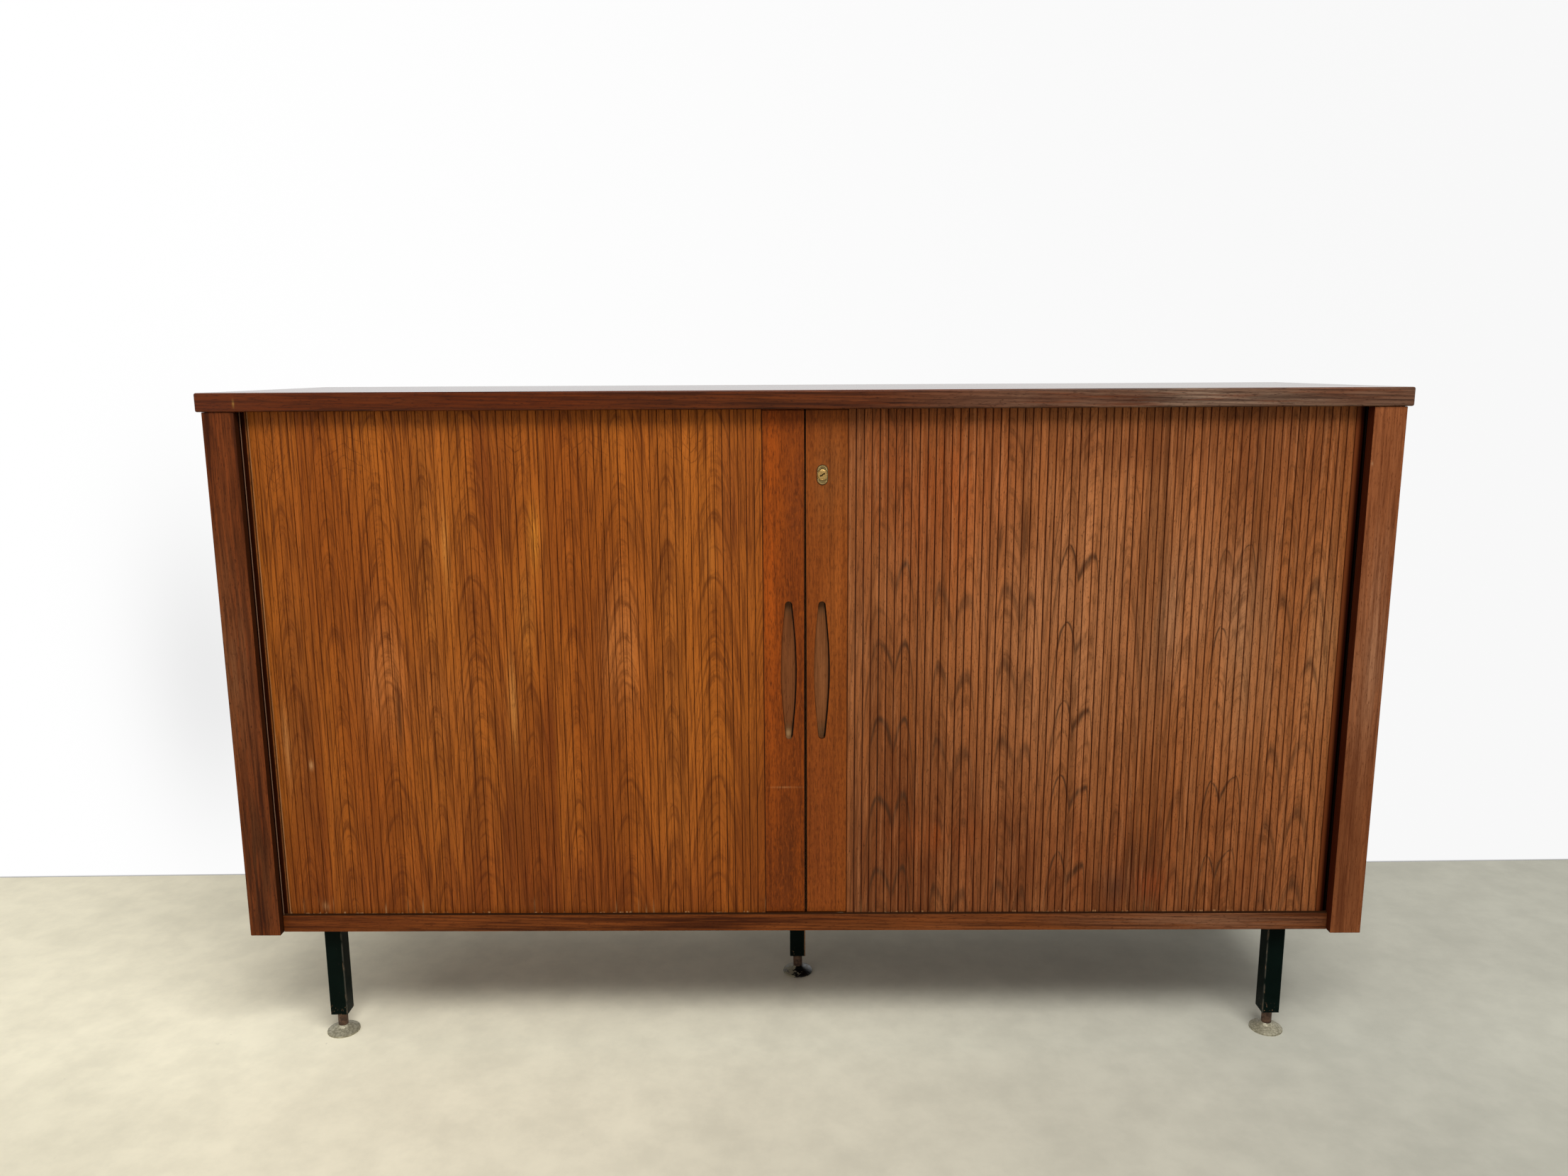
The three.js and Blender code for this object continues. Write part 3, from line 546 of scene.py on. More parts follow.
class Value:
    """A value in a material's node tree. Sums, products and the like of values make nodes."""

    def __init__(self, shader, socket):
        self.shader = shader
        self.socket = socket

    def math(self, operation, *others):
        return self.shader.math(operation, self, *others)

    def __add__(self, other):
        return self.math("ADD", other)

    def __sub__(self, other):
        return self.math("SUBTRACT", other)

    def __rsub__(self, other):
        return self.shader.math("SUBTRACT", other, self)

    def __mul__(self, other):
        return self.math("MULTIPLY", other)

    def __truediv__(self, other):
        return self.math("DIVIDE", other)

    def __neg__(self):
        return 0.0 - self

    def __abs__(self):
        return self.math("ABSOLUTE")

    def rise(self, low, high, start=0.0, end=1.0):
        """Goes smoothly from start to end while the value goes from low to high."""
        inputs = {"Value": self, "From Min": low, "From Max": high, "To Min": start, "To Max": end}
        return self.shader.node("ShaderNodeMapRange", inputs, interpolation_type="SMOOTHSTEP")

    def fall(self, low, high):
        return self.rise(low, high, 1.0, 0.0)

    def past(self, start, full):
        """0 up to the start and 1 from full on, whichever way that is."""
        return self.rise(start, full) if start < full else self.fall(full, start)


class Shader:
    """A material's node tree. Its calls take and return values."""

    def __init__(self, name):
        self.material = bpy.data.materials.new(name)
        self.material.use_nodes = True
        self.tree = self.material.node_tree

    def feed(self, socket, value):
        if isinstance(value, Value):
            self.tree.links.new(value.socket, socket)
        else:
            socket.default_value = (*value, 1.0) if socket.type == "RGBA" else value

    def make(self, kind, inputs=(), **settings):
        made = self.tree.nodes.new(kind)
        for key, value in settings.items():
            setattr(made, key, value)
        for key, value in dict(inputs).items():
            self.feed(made.inputs[key], value)
        return made

    def node(self, kind, inputs=(), output=0, **settings):
        return Value(self, self.make(kind, inputs, **settings).outputs[output])

    def math(self, operation, *values):
        return self.node("ShaderNodeMath", enumerate(values), operation=operation)

    def combine(self, x, y, z):
        return self.node("ShaderNodeCombineXYZ", {0: x, 1: y, 2: z})

    def separate(self, vector):
        made = self.make("ShaderNodeSeparateXYZ", {0: vector})
        return [Value(self, output) for output in made.outputs]

    def noise(self, place, scale, detail, roughness=0.5):
        inputs = {"Vector": place, "Scale": scale, "Detail": detail, "Roughness": roughness}
        return self.node("ShaderNodeTexNoise", inputs)

    def ramp(self, value, stops):
        """Greys that follow the value: (place, grey) each."""
        made = self.make("ShaderNodeValToRGB", {0: value})
        elements = made.color_ramp.elements
        while len(elements) < len(stops):
            elements.new(0.5)
        for element, (place, grey) in zip(elements, stops):
            element.position = place
            element.color = (grey, grey, grey, 1.0)
        return Value(self, made.outputs[0])

    def mix(self, share, first, second, blend="MIX"):
        inputs = {"Factor": share, 6: first, 7: second}
        return self.node("ShaderNodeMix", inputs, 2, data_type="RGBA", blend_type=blend)

    def darken(self, tone, factor):
        return self.mix(1.0, tone, factor, "MULTIPLY")

    def place(self):
        return self.node("ShaderNodeTexCoord", output="Object")

    def axes(self):
        return self.separate(self.place())

    def attribute(self, name, output="Fac"):
        return self.node("ShaderNodeAttribute", output=output, attribute_name=name)

    def geometry(self, output):
        return self.node("ShaderNodeNewGeometry", output=output)

    def facing(self):
        """How far a face looks along each axis, either way."""
        normal = self.geometry("Normal")
        return self.separate(self.node("ShaderNodeVectorMath", {0: normal}, operation="ABSOLUTE"))

    def spots(self, name):
        """Noise in the object's own space, as SPOTS has it."""
        scale, detail, roughness, *span = SPOTS[name]
        noise = self.noise(self.place(), scale, detail, roughness)
        return noise.rise(*span) if span else noise

    def finish(self, tone, roughness, height, bump, metallic=0.0, level=PLAIN_LEVEL):
        """The finished material; bump is the height's distance and how strong it is."""
        relief = {"Height": height, "Distance": bump[0], "Strength": bump[1]}
        values = {
            "Base Color": tone,
            "Roughness": roughness,
            "Metallic": metallic,
            "Specular IOR Level": level,
            "Normal": self.node("ShaderNodeBump", relief),
        }
        surface = self.tree.nodes["Principled BSDF"]
        for key, value in values.items():
            self.feed(surface.inputs[key], value)
        return self.material


def srgb(red, green, blue):
    """A colour as a screen shows it, 0 to 255, in the linear values that a shader takes."""
    shares = (red / 255, green / 255, blue / 255)
    return tuple(((share + 0.055) / 1.055) ** 2.4 if share > 0.04 else share / 12.92 for share in shares)


def middle_of(node):
    low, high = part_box(node)
    return (low + high) / 2


def patch(across, along, place, half_size):
    """1 in the middle of an oval patch, falling softly to 0."""
    sideways = (across - place[0]) / half_size[0]
    upward = (along - place[1]) / half_size[1]
    return (-(sideways * sideways + upward * upward)).math("EXPONENT")


class Wood(Shader):
    """Veneer or solid wood. Its figure is a field whose level lines are the growth rings."""

    def __init__(self, name, along="Z", source=None):
        super().__init__(name)
        *tones, seed = WOODS[name]
        self.tones = dict(zip(("dark", "middle", "light"), tones))
        x, y, z = self.separate(self.attribute(source, "Vector")) if source else self.axes()
        self.across, self.deep, self.length = (z, y, x) if along == "X" else (x, y, z)
        self.depth = self.deep * DEPTH_STRETCH + seed
        self.within = self.across if source else self.across + self.deep

    def tint(self, mask, colour, share):
        """Mixes in one of the wood's own tones, or a colour as a screen shows it."""
        self.tone = self.mix(mask * share, self.tone, srgb(*self.tones.get(colour, colour)))

    def stain(self, name, *values, mask=None):
        """Mixes in a stain, a painted shade or a painted highlight from the table, as far as the mask says
        and each value is past its span.
        """
        colour, share, *spans = STAINS_AND_PAINTED_LIGHT[name]
        for value, span in zip(values, spans, strict=True):
            past = value.past(*span)
            mask = past * mask if mask else past
        self.tint(mask, colour, share)

    def grain(self, across, along, offset, detail, *span):
        """Noise drawn out along the grain."""
        place = self.combine(self.within * across, self.depth + offset, self.length * along)
        noise = self.noise(place, 1.0, detail)
        return noise.rise(*span) if span else noise

    def lines(self, name, *span):
        """Noise drawn out along the grain, as GRAINS has it."""
        return self.grain(*GRAINS[name], *span)

    def shade(self, factor):
        self.tone = self.darken(self.tone, factor)

    def leaves(self):
        """Slip-matched leaves of veneer: the same figure again in each leaf, with small changes."""
        placed = self.across - LEAF_START
        self.within = placed.math("WRAP", LEAF_WIDTH, 0.0)
        self.depth += (placed / LEAF_WIDTH).math("FLOOR") * LEAF_CHANGE

    def figure(self, wander, ripple, lean=0.0):
        """The field: height up the tree, leaning across the wood, roughened by noise."""
        rough = self.lines("drift") * wander + self.lines("ripple") * ripple
        self.field = self.length + self.within * lean + rough

    def raise_arches(self, places):
        """Raises the field in pointed arches side by side: (middle, lag, left, right) each.

        An arch's top is lower by its lag, and left and right say how steeply it falls to either side.
        """
        total = None
        for middle, lag, left, right in places:
            aside = self.within - middle
            away = (aside * -left).math("MAXIMUM", aside * right)
            arch = away * away + lag
            total = total.math("MINIMUM", arch) if total else arch
        pull = sum(left + right for _, _, left, right in places) / len(places)
        slope = total.math("SQRT") * pull
        self.field += total
        self.steep = (slope * slope + 1.0).math("SQRT")

    def base(self):
        self.cloud = self.lines("cloud")
        middle, light = (srgb(*self.tones[word]) for word in ("middle", "light"))
        self.tone = self.mix(self.cloud.rise(*CLOUD_SPAN), middle, light)
        fade = self.lines("patch_fade")
        for across, along, half_width, half_height, colour, share in PATCHES.get(self.material.name, ()):
            oval = patch(self.across, self.length, (across, along), (half_width, half_height))
            self.tint(oval * fade, colour, share)

    def rings(self, spacing, share):
        """Soft dark bands that deepen towards the end of each ring."""
        ring = self.ramp((self.field / spacing).math("FRACT"), RING_GREYS)
        self.tint(ring * self.lines("ring_fade"), "dark", share)

    def contours(self, spacing, start, width, faint, strong):
        """Mask of thin lines of even width along the rings, strong here and faint there."""
        level = self.lines("line_wobble") * LINE_WOBBLE + self.field
        phase = ((level - start) / spacing).math("FRACT")
        away = abs(phase - 0.5) * spacing
        line = (away / self.steep).fall(0.0, width) * self.lines("line_fade", faint, strong)
        line *= self.steep.rise(*LINE_STEEPNESS)
        top = (ARCH_TOP - ARCH_TOP_REACH, ARCH_TOP + ARCH_TOP_REACH)
        return line * self.length.rise(*top, 1.0, LINE_ABOVE_ARCHES_SHARE)

    def feathers(self):
        rough = self.lines("feather_wobble") * FEATHER_WOBBLE + self.length
        for across, along, half_width, half_height, slope, spacing in FEATHERS:
            level = rough - abs(self.across - across) * slope
            phase = (level / spacing).math("FRACT")
            oval = patch(self.across, self.length, (across, along), (half_width, half_height))
            self.tint(abs(phase - 0.5).fall(0.0, FEATHER_SHARE) * oval, *FEATHER_TINT)

    def growth(self, scale, share, low, high):
        """Fine lines that follow the rings."""
        across = self.within * (scale * GROWTH_ACROSS_SHARE)
        place = self.combine(self.field * scale, across, self.length * GROWTH_ALONG)
        self.tint(self.noise(place, *GROWTH_NOISE).rise(low, high), "dark", share)

    def streaks(self, rows):
        """Streaks along the grain; returns the mask of the last row."""
        for colour, share, across, along, offset, low, high in rows:
            mask = self.grain(across, along, offset, 3.0, low, high)
            self.tint(mask, colour, share)
        return mask

    def worn_edges(self, radius):
        """How worn an edge is, from how far a rounded normal turns from the real one."""
        rounded = self.node("ShaderNodeBevel", {"Radius": radius}, samples=BEVEL_SAMPLES)
        normals = {0: rounded, 1: self.geometry("Normal")}
        match = self.node("ShaderNodeVectorMath", normals, "Value", operation="DOT_PRODUCT")
        return (1.0 - match) * self.spots("edge_breakup")

    def varnish(self, roughness, level, bump=WOOD_BUMP):
        """A varnish over fibres and pores; roughness is a number, which then varies, or a value."""
        if not isinstance(roughness, Value):
            roughness = self.cloud.rise(*SHEEN_SPAN, *(roughness + change for change in SHEEN_CHANGE))
        height = self.lines("fibre") - self.pore * PORE_DEPTH_SHARE
        return self.finish(self.tone, roughness, height, bump, level=level)


def track_corner_x():
    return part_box("side_panel_right")[0].x - SIDE_GAP - SLAT_THICKNESS - CORNER_RADIUS


def slat_wood(word):
    """The slats of a door: painted shade between them and where they turn round the corner, and worn pale on
    their edges and lower ends.
    """
    look = SLAT_WOODS[word]
    wood = Wood(f"slats_{word}", source="grain")
    chance = wood.attribute("chance")
    wood.length += chance * SLAT_SHIFT
    if word == "left":
        wood.leaves()
    wood.figure(*look["figure"])
    wood.raise_arches(ARCHES[word])
    wood.base()
    wood.rings(*look["rings"])
    wood.tint(wood.contours(*look["contours"]), *look["contour_tint"])
    if word == "left":
        wood.feathers()
    wood.growth(*look["growth"])
    wood.pore = wood.streaks(STREAKS[f"slats_{word}"])
    wood.shade(chance.rise(0.0, 1.0, *look["uneven"]))
    aside = abs(wood.attribute("place"))
    height = wood.length - (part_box("tambour_left")[0].z + TONGUE_DEPTH)
    wood.stain(f"{word}_rub", aside, mask=wood.lines("side_wear"))
    # Painted shade along each slat's rounded edges, where the slats meet
    wood.stain(f"{word}_slat_edge", wood.attribute("edge"))
    wood.shade(wood.deep.rise(*GAP_SHADOW, 1.0))
    wood.stain(f"{word}_scuff", height, aside, wood.deep, mask=wood.lines("scuff"))
    wood.stain("fringe", height, mask=wood.lines("fringe"))
    # Painted shade on the slats turning round the corner behind the post: dark from the corner's start on the
    # left; brown, then near black, on the right
    reach = abs(wood.across) - track_corner_x()
    wood.stain(f"{word}_corner", reach)
    if word == "left":
        wood.stain("left_corner_wear", reach, reach, mask=wood.lines("corner_wear"))
    else:
        wood.stain("right_recess", reach)
        wood.shade(reach.rise(*RIGHT_RECESS_END))
    return wood.varnish(*look["sheen"])


def plain_wood(name):
    axis, rings, growth, coarse = PLAIN_WOODS[name]
    wood = Wood(name, axis)
    wood.figure(*PLAIN_FIGURE)
    wood.base()
    wood.rings(PLAIN_RING_SPACING, rings)
    scale, low, high = PLAIN_GROWTH
    wood.growth(scale, growth, low, high)
    wood.streaks([("dark", coarse, *COARSE_STREAK)])
    wood.pore = wood.streaks(STREAKS["plain"])
    return wood


def post_wood(word):
    """A corner post: its face towards the door is painted dark as shade, the left one also with a painted
    shadow line and a painted highlight, and its edges are rubbed.
    """
    wood = plain_wood(f"post_{word}")
    wood.stain("post_edge", wood.worn_edges(POST_EDGE_REACH))
    # Painted shade on the post's face towards the door
    side = (abs(wood.across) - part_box("post_right")[0].x).fall(*POST_SIDE)
    side *= wood.facing()[0].rise(*POST_SIDE_FACING)
    wood.stain(f"{word}_post_side", mask=side)
    if word == "left":
        # A painted shadow line and a painted highlight near the back edge of the left post's side
        from_back = wood.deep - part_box("post_left")[1].y
        wood.stain("post_slit", from_back, mask=side)
        wood.stain("post_rim", from_back, mask=side)
    return wood.varnish(*POST_SHEEN)


def stain_and_shade_grip(wood, word, inner):
    """The wall and floor of a finger grip: a dull floor, with painted shade on the wall and along both edges
    of the floor.
    """
    aside = wood.across - (inner + SIDES[word] * GRIP_INSET)
    above = wood.length - (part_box("bottom_board")[1].z + GRIP_RISE)
    sunk = wood.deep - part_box(f"lead_stile_{word}")[0].y
    half = (above * (math.pi / GRIP_SPAN)).math("COSINE") * GRIP_BULGE + GRIP_END
    within = abs(aside).fall(*GRIP_REACH)
    floor = within * sunk.rise(*GRIP_FLOOR_DEPTH)
    wall = within * sunk.rise(*GRIP_WALL_DEPTH)
    # Painted shade on the grip's wall
    wood.stain("grip_wall", mask=wall)
    wood.stain(f"{word}_grip", mask=floor)
    wood.stain("grip_fibre", mask=floor * wood.lines("grip_fibre"))
    wood.stain("grip_end", abs(above), mask=floor)
    if word == "left":
        wood.stain("grip_chip", mask=floor.math("MAXIMUM", wall) * patch(aside, above, *GRIP_CHIP))
    # Painted shade along both edges of the floor
    wood.stain("grip_right_edge", aside - half, mask=floor)
    wood.stain("grip_left_edge", -aside - half, mask=floor)


def stile_wood(word):
    """A lead stile: dense short pores, a worn grip, and painted shade along both of its edges."""
    wood = plain_wood(f"stile_{word}")
    wood.streaks(STREAKS["stile"])
    low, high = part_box(f"lead_stile_{word}")
    inner, outer = (high.x, low.x) if word == "left" else (low.x, high.x)
    stain_and_shade_grip(wood, word, inner)
    wood.streaks(STREAKS["over_grip"])
    # Painted shade: the gap between the stiles widened in dark, and a dark line where the stile meets the
    # slats
    from_inner = abs(wood.across - inner) - wood.length.rise(*MEETING_SHADE_HEIGHT, *MEETING_SHADE_WIDTH)
    wood.stain("meeting_grime", from_inner, wood.deep - low.y)
    wood.stain(f"{word}_outer_grime", abs(wood.across - outer))
    return wood.varnish(*STILE_SHEEN)


def top_wood():
    """The top board: bold grain along it, glossier on top than on its edge."""
    wood = plain_wood("top")
    wood.stain("top_edge", wood.worn_edges(BOARD_EDGE_REACH))
    return wood.varnish(wood.facing()[2].rise(*TOP_FACING, *TOP_ROUGHNESS), TOP_LEVEL, TOP_BUMP)


def rail_wood():
    """The bottom board: dusty, and dark on its ledge in front of the doors, partly painted shade in front of
    the groove and partly dirt, and pale inside.
    """
    wood = plain_wood("rail")
    wood.stain("rail_edge", wood.worn_edges(BOARD_EDGE_REACH))
    from_top = wood.across - (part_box("lead_stile_left")[0].z + TONGUE_DEPTH)
    upper = wood.facing()[2].rise(*RAIL_FACING) * from_top.rise(*RAIL_TOP)
    wood.stain("ledge_top", mask=upper)
    for lines in ("ledge_coarse", "ledge_fine"):
        wood.stain("ledge_lines", mask=upper * wood.lines(lines))
    # The ledge's dark: partly painted shade in front of the groove, partly dirt
    ledge = upper * (wood.deep - TRACK_FACE_Y).fall(*LEDGE_DEPTH)
    wood.stain("ledge", mask=ledge)
    start, end = (wood.length.past(*span) for span in DUST_MIDDLE)
    dusty = wood.length.fall(*DUST_LEFT) + start * end
    dusty *= (wood.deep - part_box("post_right")[0].y).rise(*DUST_DEPTH)
    wood.stain("dust", mask=ledge * wood.spots("dust") * dusty)
    return wood.varnish(*POST_SHEEN)


def painted_leg(word):
    """Black paint over rust, rubbed through along the tube's inner front edge and flaking at its foot; a thin
    pale line along that edge is partly wear and partly a painted highlight.
    """
    shader = Shader(f"leg_{word}")
    x, y, z = shader.axes()
    middle = middle_of(f"leg_{word}")
    inward = -1 if word.endswith("right") else 1
    from_side = (x - middle.x) * inward - LEG_HALF
    edge = from_side.rise(*LEG_EDGE_SIDE) * (y - (middle.y - LEG_HALF)).fall(*LEG_EDGE_FRONT)
    drawn_out = shader.combine(*(axis * scale for axis, scale in zip((x, y, z), LEG_RUB_SCALE)))
    worn = LEG_WORN.get(word, LEG_LITTLE_WORN)
    rubbed = (shader.noise(drawn_out, *LEG_RUB_NOISE) + worn).rise(*LEG_RUB_SPAN)
    foot = (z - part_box(f"leg_{word}")[0].z).fall(0.0, LEG_FOOT)
    bare = (edge * rubbed).math("MAXIMUM", shader.spots("leg_flake") * foot)
    bare = bare.math("MAXIMUM", shader.spots("leg_speck") * LEG_SPECK_SHARE)
    cloud = shader.spots("leg_cloud")
    paint, thin, rust = (srgb(*LEG_COLOURS[name]) for name in ("paint", "thin", "rust"))
    tone = shader.mix(cloud, paint, tuple(LEG_CLOUD_CHANGE * c for c in paint))
    # Thin pale line along the inner front edge: partly wear, partly a painted highlight on the rounded edge
    tone = shader.mix(edge * shader.spots("leg_thin") * LEG_THIN_SHARE, tone, thin)
    low, high = LEG_ROUGHNESS
    height = shader.spots("leg_grit") * LEG_GRIT_SHARE - bare
    tone = shader.mix(bare, tone, rust)
    roughness = cloud * (high - low) + low
    return shader.finish(tone, roughness, height, LEG_BUMP, bare * LEG_METALLIC_SHARE, LEG_LEVEL)


def painted_zinc():
    """A glide that was sprayed black, with half of the paint gone."""
    shader = Shader("zinc_painted")
    sprayed = (shader.axes()[0] - middle_of("foot_glide_centre").x).rise(*GLIDE_SPRAY)
    paint = (shader.spots("zinc_chips") + sprayed).rise(*GLIDE_PAINT_SPAN)
    dull, clean, black = (srgb(*colour) for colour in GLIDE_COLOURS)
    tone = shader.mix(paint, shader.mix(shader.spots("zinc_grit"), dull, clean), black)
    roughness = paint.rise(0.0, 1.0, *GLIDE_ROUGHNESS)
    return shader.finish(tone, roughness, paint, GLIDE_BUMP, level=GLIDE_LEVEL)


def barrel_brass():
    """Brass that was turned and cut round the plug, with its crescents of highlight and shade painted as
    greys by radius, which also give its bumps.
    """
    shader = Shader("barrel")
    x, _, z = shader.axes()
    middle = middle_of("lock_plug")
    right, above = x - middle.x, z - middle.z
    tall = (abs(above) - BARREL_STRAIGHT).math("MAXIMUM", 0.0)
    clean, dull = (srgb(*colour) for colour in BARREL_COLOURS)
    tone = shader.mix(shader.spots("barrel_blotch"), clean, dull)
    greys = []
    # Painted highlight and shade: crescents of grey by radius round the plug
    for height, stops in ((above, BARREL_RING_SHADING), (tall, BARREL_RIM_SHADING)):
        radius = (right * right + height * height).math("SQRT")
        greys.append(shader.ramp(radius / BARREL_UNIT, stops))
        tone = shader.darken(tone, greys[-1])
    return shader.finish(tone, BARREL_ROUGHNESS, greys[0], BARREL_BUMP, metallic=1.0)


def plug_brass():
    """Brass that is painted black down in the keyhole, as shade."""
    shader = Shader("plug")
    # Painted shade: black deeper than the plug's face
    sunk = (shader.axes()[1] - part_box("lock_plug")[0].y).rise(*PLUG_SUNK)
    blotch = shader.spots("plug_blotch")
    clean, dull, black = (srgb(*colour) for colour in PLUG_COLOURS)
    tone = shader.mix(sunk, shader.mix(blotch.rise(*PLUG_SPAN), clean, dull), black)
    return shader.finish(tone, PLUG_ROUGHNESS, blotch, PLUG_BUMP, 1.0 - sunk, PLUG_LEVEL)


def worn_metal(name):
    clean, dull, scale, roughness, metallic = METALS[name]
    shader = Shader(name)
    blotch = shader.noise(shader.place(), scale, METAL_DETAILS[0], METAL_BLOTCH_ROUGHNESS)
    fine = shader.noise(shader.place(), scale * METAL_FINE_SCALE, METAL_DETAILS[1])
    stained = (blotch + fine * METAL_FINE_SHARE).rise(*METAL_STAIN_SPAN)
    sheen = blotch.rise(*METAL_SHEEN_SPAN, *(roughness + change for change in METAL_SHEEN_CHANGE))
    tone = shader.mix(stained, srgb(*clean), srgb(*dull))
    return shader.finish(tone, sheen, fine, METAL_BUMP, metallic)


def canvas_cloth():
    shader = Shader("canvas")
    x, y, z = shader.axes()
    height = ((x + y) * CANVAS_THREADS).math("SINE") * (z * CANVAS_THREADS).math("SINE")
    colour = srgb(*CANVAS_COLOUR)
    tone = shader.mix(height.rise(-1.0, 1.0), colour, tuple(CANVAS_SHADE_SHARE * c for c in colour))
    return shader.finish(tone, CANVAS_ROUGHNESS, height, CANVAS_BUMP)


materials = {name: worn_metal(name) for name in METALS}
materials.update({f"leg_{word}": painted_leg(word) for word in LEGS})
for side_word in SIDES:
    materials[f"slats_{side_word}"] = slat_wood(side_word)
    materials[f"stile_{side_word}"] = stile_wood(side_word)
    materials[f"post_{side_word}"] = post_wood(side_word)
materials["top"] = top_wood()
materials["rail"] = rail_wood()
materials["inside"] = plain_wood("inside").varnish(*INSIDE_SHEEN)
materials["shelf"] = plain_wood("shelf").varnish(*SHELF_SHEEN)
materials["zinc_painted"] = painted_zinc()
materials["barrel"] = barrel_brass()
materials["plug"] = plug_brass()
materials["canvas"] = canvas_cloth()


def dress_solids():
    """Gives each solid its finish, whose {} is the rest of the solid's name, and rounds its sharp edges."""
    for finish, radius, steps, *starts in FINISHES:
        for start in starts:
            for node, piece in frame["nodes"].items():
                if node.startswith(start):
                    piece.data.materials.clear()
                    piece.data.materials.append(materials[finish.format(node[len(start):])])
                    round_edges(piece, radius, steps)


def round_edges(piece, radius, steps):
    weld = piece.modifiers.new("weld", "WELD")
    weld.merge_threshold = WELD_REACH
    flatten = piece.modifiers.new("flatten", "DECIMATE")
    flatten.decimate_type = "DISSOLVE"
    flatten.angle_limit = FLAT_ANGLE
    rounding = piece.modifiers.new("rounding", "BEVEL")
    rounding.width = radius
    rounding.segments = steps
    rounding.limit_method = "ANGLE"
    rounding.angle_limit = SHARP_ANGLE
    rounding.harden_normals = True


def add_object(name, data):
    made = bpy.data.objects.new(name, data)
    bpy.context.scene.collection.objects.link(made)
    return made


def new_piece(name, vertices, faces, material, body):
    mesh = bpy.data.meshes.new(name)
    mesh.from_pydata([tuple(v) for v in vertices], [], faces)
    mesh.validate()
    mesh.shade_smooth()
    mesh.set_sharp_from_angle(angle=SMOOTH_ANGLE)
    mesh.materials.append(materials[material])
    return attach(add_object(name, mesh), body)


def canvas_place(distance, corner):
    """Point, outward and along at a distance past the start of the right front corner."""
    corner_length = CORNER_RADIUS * math.pi / 2
    turned = min(max(distance, 0.0), corner_length) / CORNER_RADIUS
    outward = Vector((math.sin(turned), -math.cos(turned)))
    along = Vector((math.cos(turned), math.sin(turned)))
    shift = Vector((min(distance, 0.0), max(distance - corner_length, 0.0)))
    return Vector(corner) + shift + CORNER_RADIUS * outward, outward, along


def slat_profile(pitch, gap, edge, crown):
    """Outline of a slat round its face: (along, outward, how much of an edge it is, place across)."""
    width = pitch - gap
    points = [(-width / 2, CANVAS_THICKNESS, 0.0, -1.0)]
    for step in range(EDGE_STEPS + 1):
        turn = math.pi / 2 * step / EDGE_STEPS
        along = -width / 2 + edge * (1 - math.cos(turn))
        outward = SLAT_THICKNESS - crown - edge * (1 - math.sin(turn))
        points.append((along, outward, math.sin(2 * turn), 2 * along / width))
    points.append((0.0, SLAT_THICKNESS, 0.0, 0.0))
    return points + [(-along, outward, rim, -place) for along, outward, rim, place in reversed(points[:-1])]


class Prisms:
    """Upright prisms gathered into one mesh, with their grain places and edge marks."""

    def __init__(self):
        self.vertices, self.faces, self.grain = [], [], []
        self.numbers = {"edge": [], "place": [], "chance": []}

    def add(self, outline, heights, chance=0.0):
        """An outline of (x, y, unrolled, depth, rim, place) points, anticlockwise from above."""
        start = len(self.vertices)
        count = len(outline)
        for z in heights:
            for x, y, unrolled, depth, rim, place in outline:
                self.vertices.append((x, y, z))
                self.grain += (unrolled, depth, z)
                for word, value in (("edge", rim), ("place", place), ("chance", chance)):
                    self.numbers[word].append(value)
        self.faces.append(tuple(range(start + count - 1, start - 1, -1)))
        self.faces.append(tuple(range(start + count, start + 2 * count)))
        for i in range(count):
            j = (i + 1) % count
            self.faces.append((start + i, start + j, start + count + j, start + count + i))

    def piece(self, name, material, body, tambour):
        made = new_piece(name, self.vertices, self.faces, material, body)
        made.data.attributes.new("grain", "FLOAT_VECTOR", "POINT").data.foreach_set("vector", self.grain)
        for word, values in self.numbers.items():
            made.data.attributes.new(word, "FLOAT", "POINT").data.foreach_set("value", values)
        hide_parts(tambour)
        return made


def slat_outline(profile, centre, side, corner, shift):
    """Puts a slat's outline on the track, at a distance from the corner's start."""
    point, outward, along = canvas_place(centre, corner)
    outline = []
    for a, o, rim, across in profile:
        place = point + along * (a + shift) + outward * o
        unrolled = side * (corner[0] + centre + a)
        outline.append((side * place.x, place.y, unrolled, o - SLAT_THICKNESS, rim, across))
    return outline[::side]


def canvas_outline(start, end, side, corner):
    """Outline of the canvas behind the slats from one distance on the track to another."""
    steps = max(1, round((end - start) / CANVAS_STEP)) if end > 0 else 1
    rims = []
    for lift in (CANVAS_THICKNESS, 0.0):
        rim = []
        for i in range(steps + 1):
            distance = start + (end - start) * i / steps
            point, outward, _ = canvas_place(distance, corner)
            place = point + outward * lift
            rim.append((side * place.x, place.y, side * (corner[0] + distance), 0.0, 0.0, 0.0))
        rims.append(rim)
    return (rims[0] + rims[1][::-1])[::side]


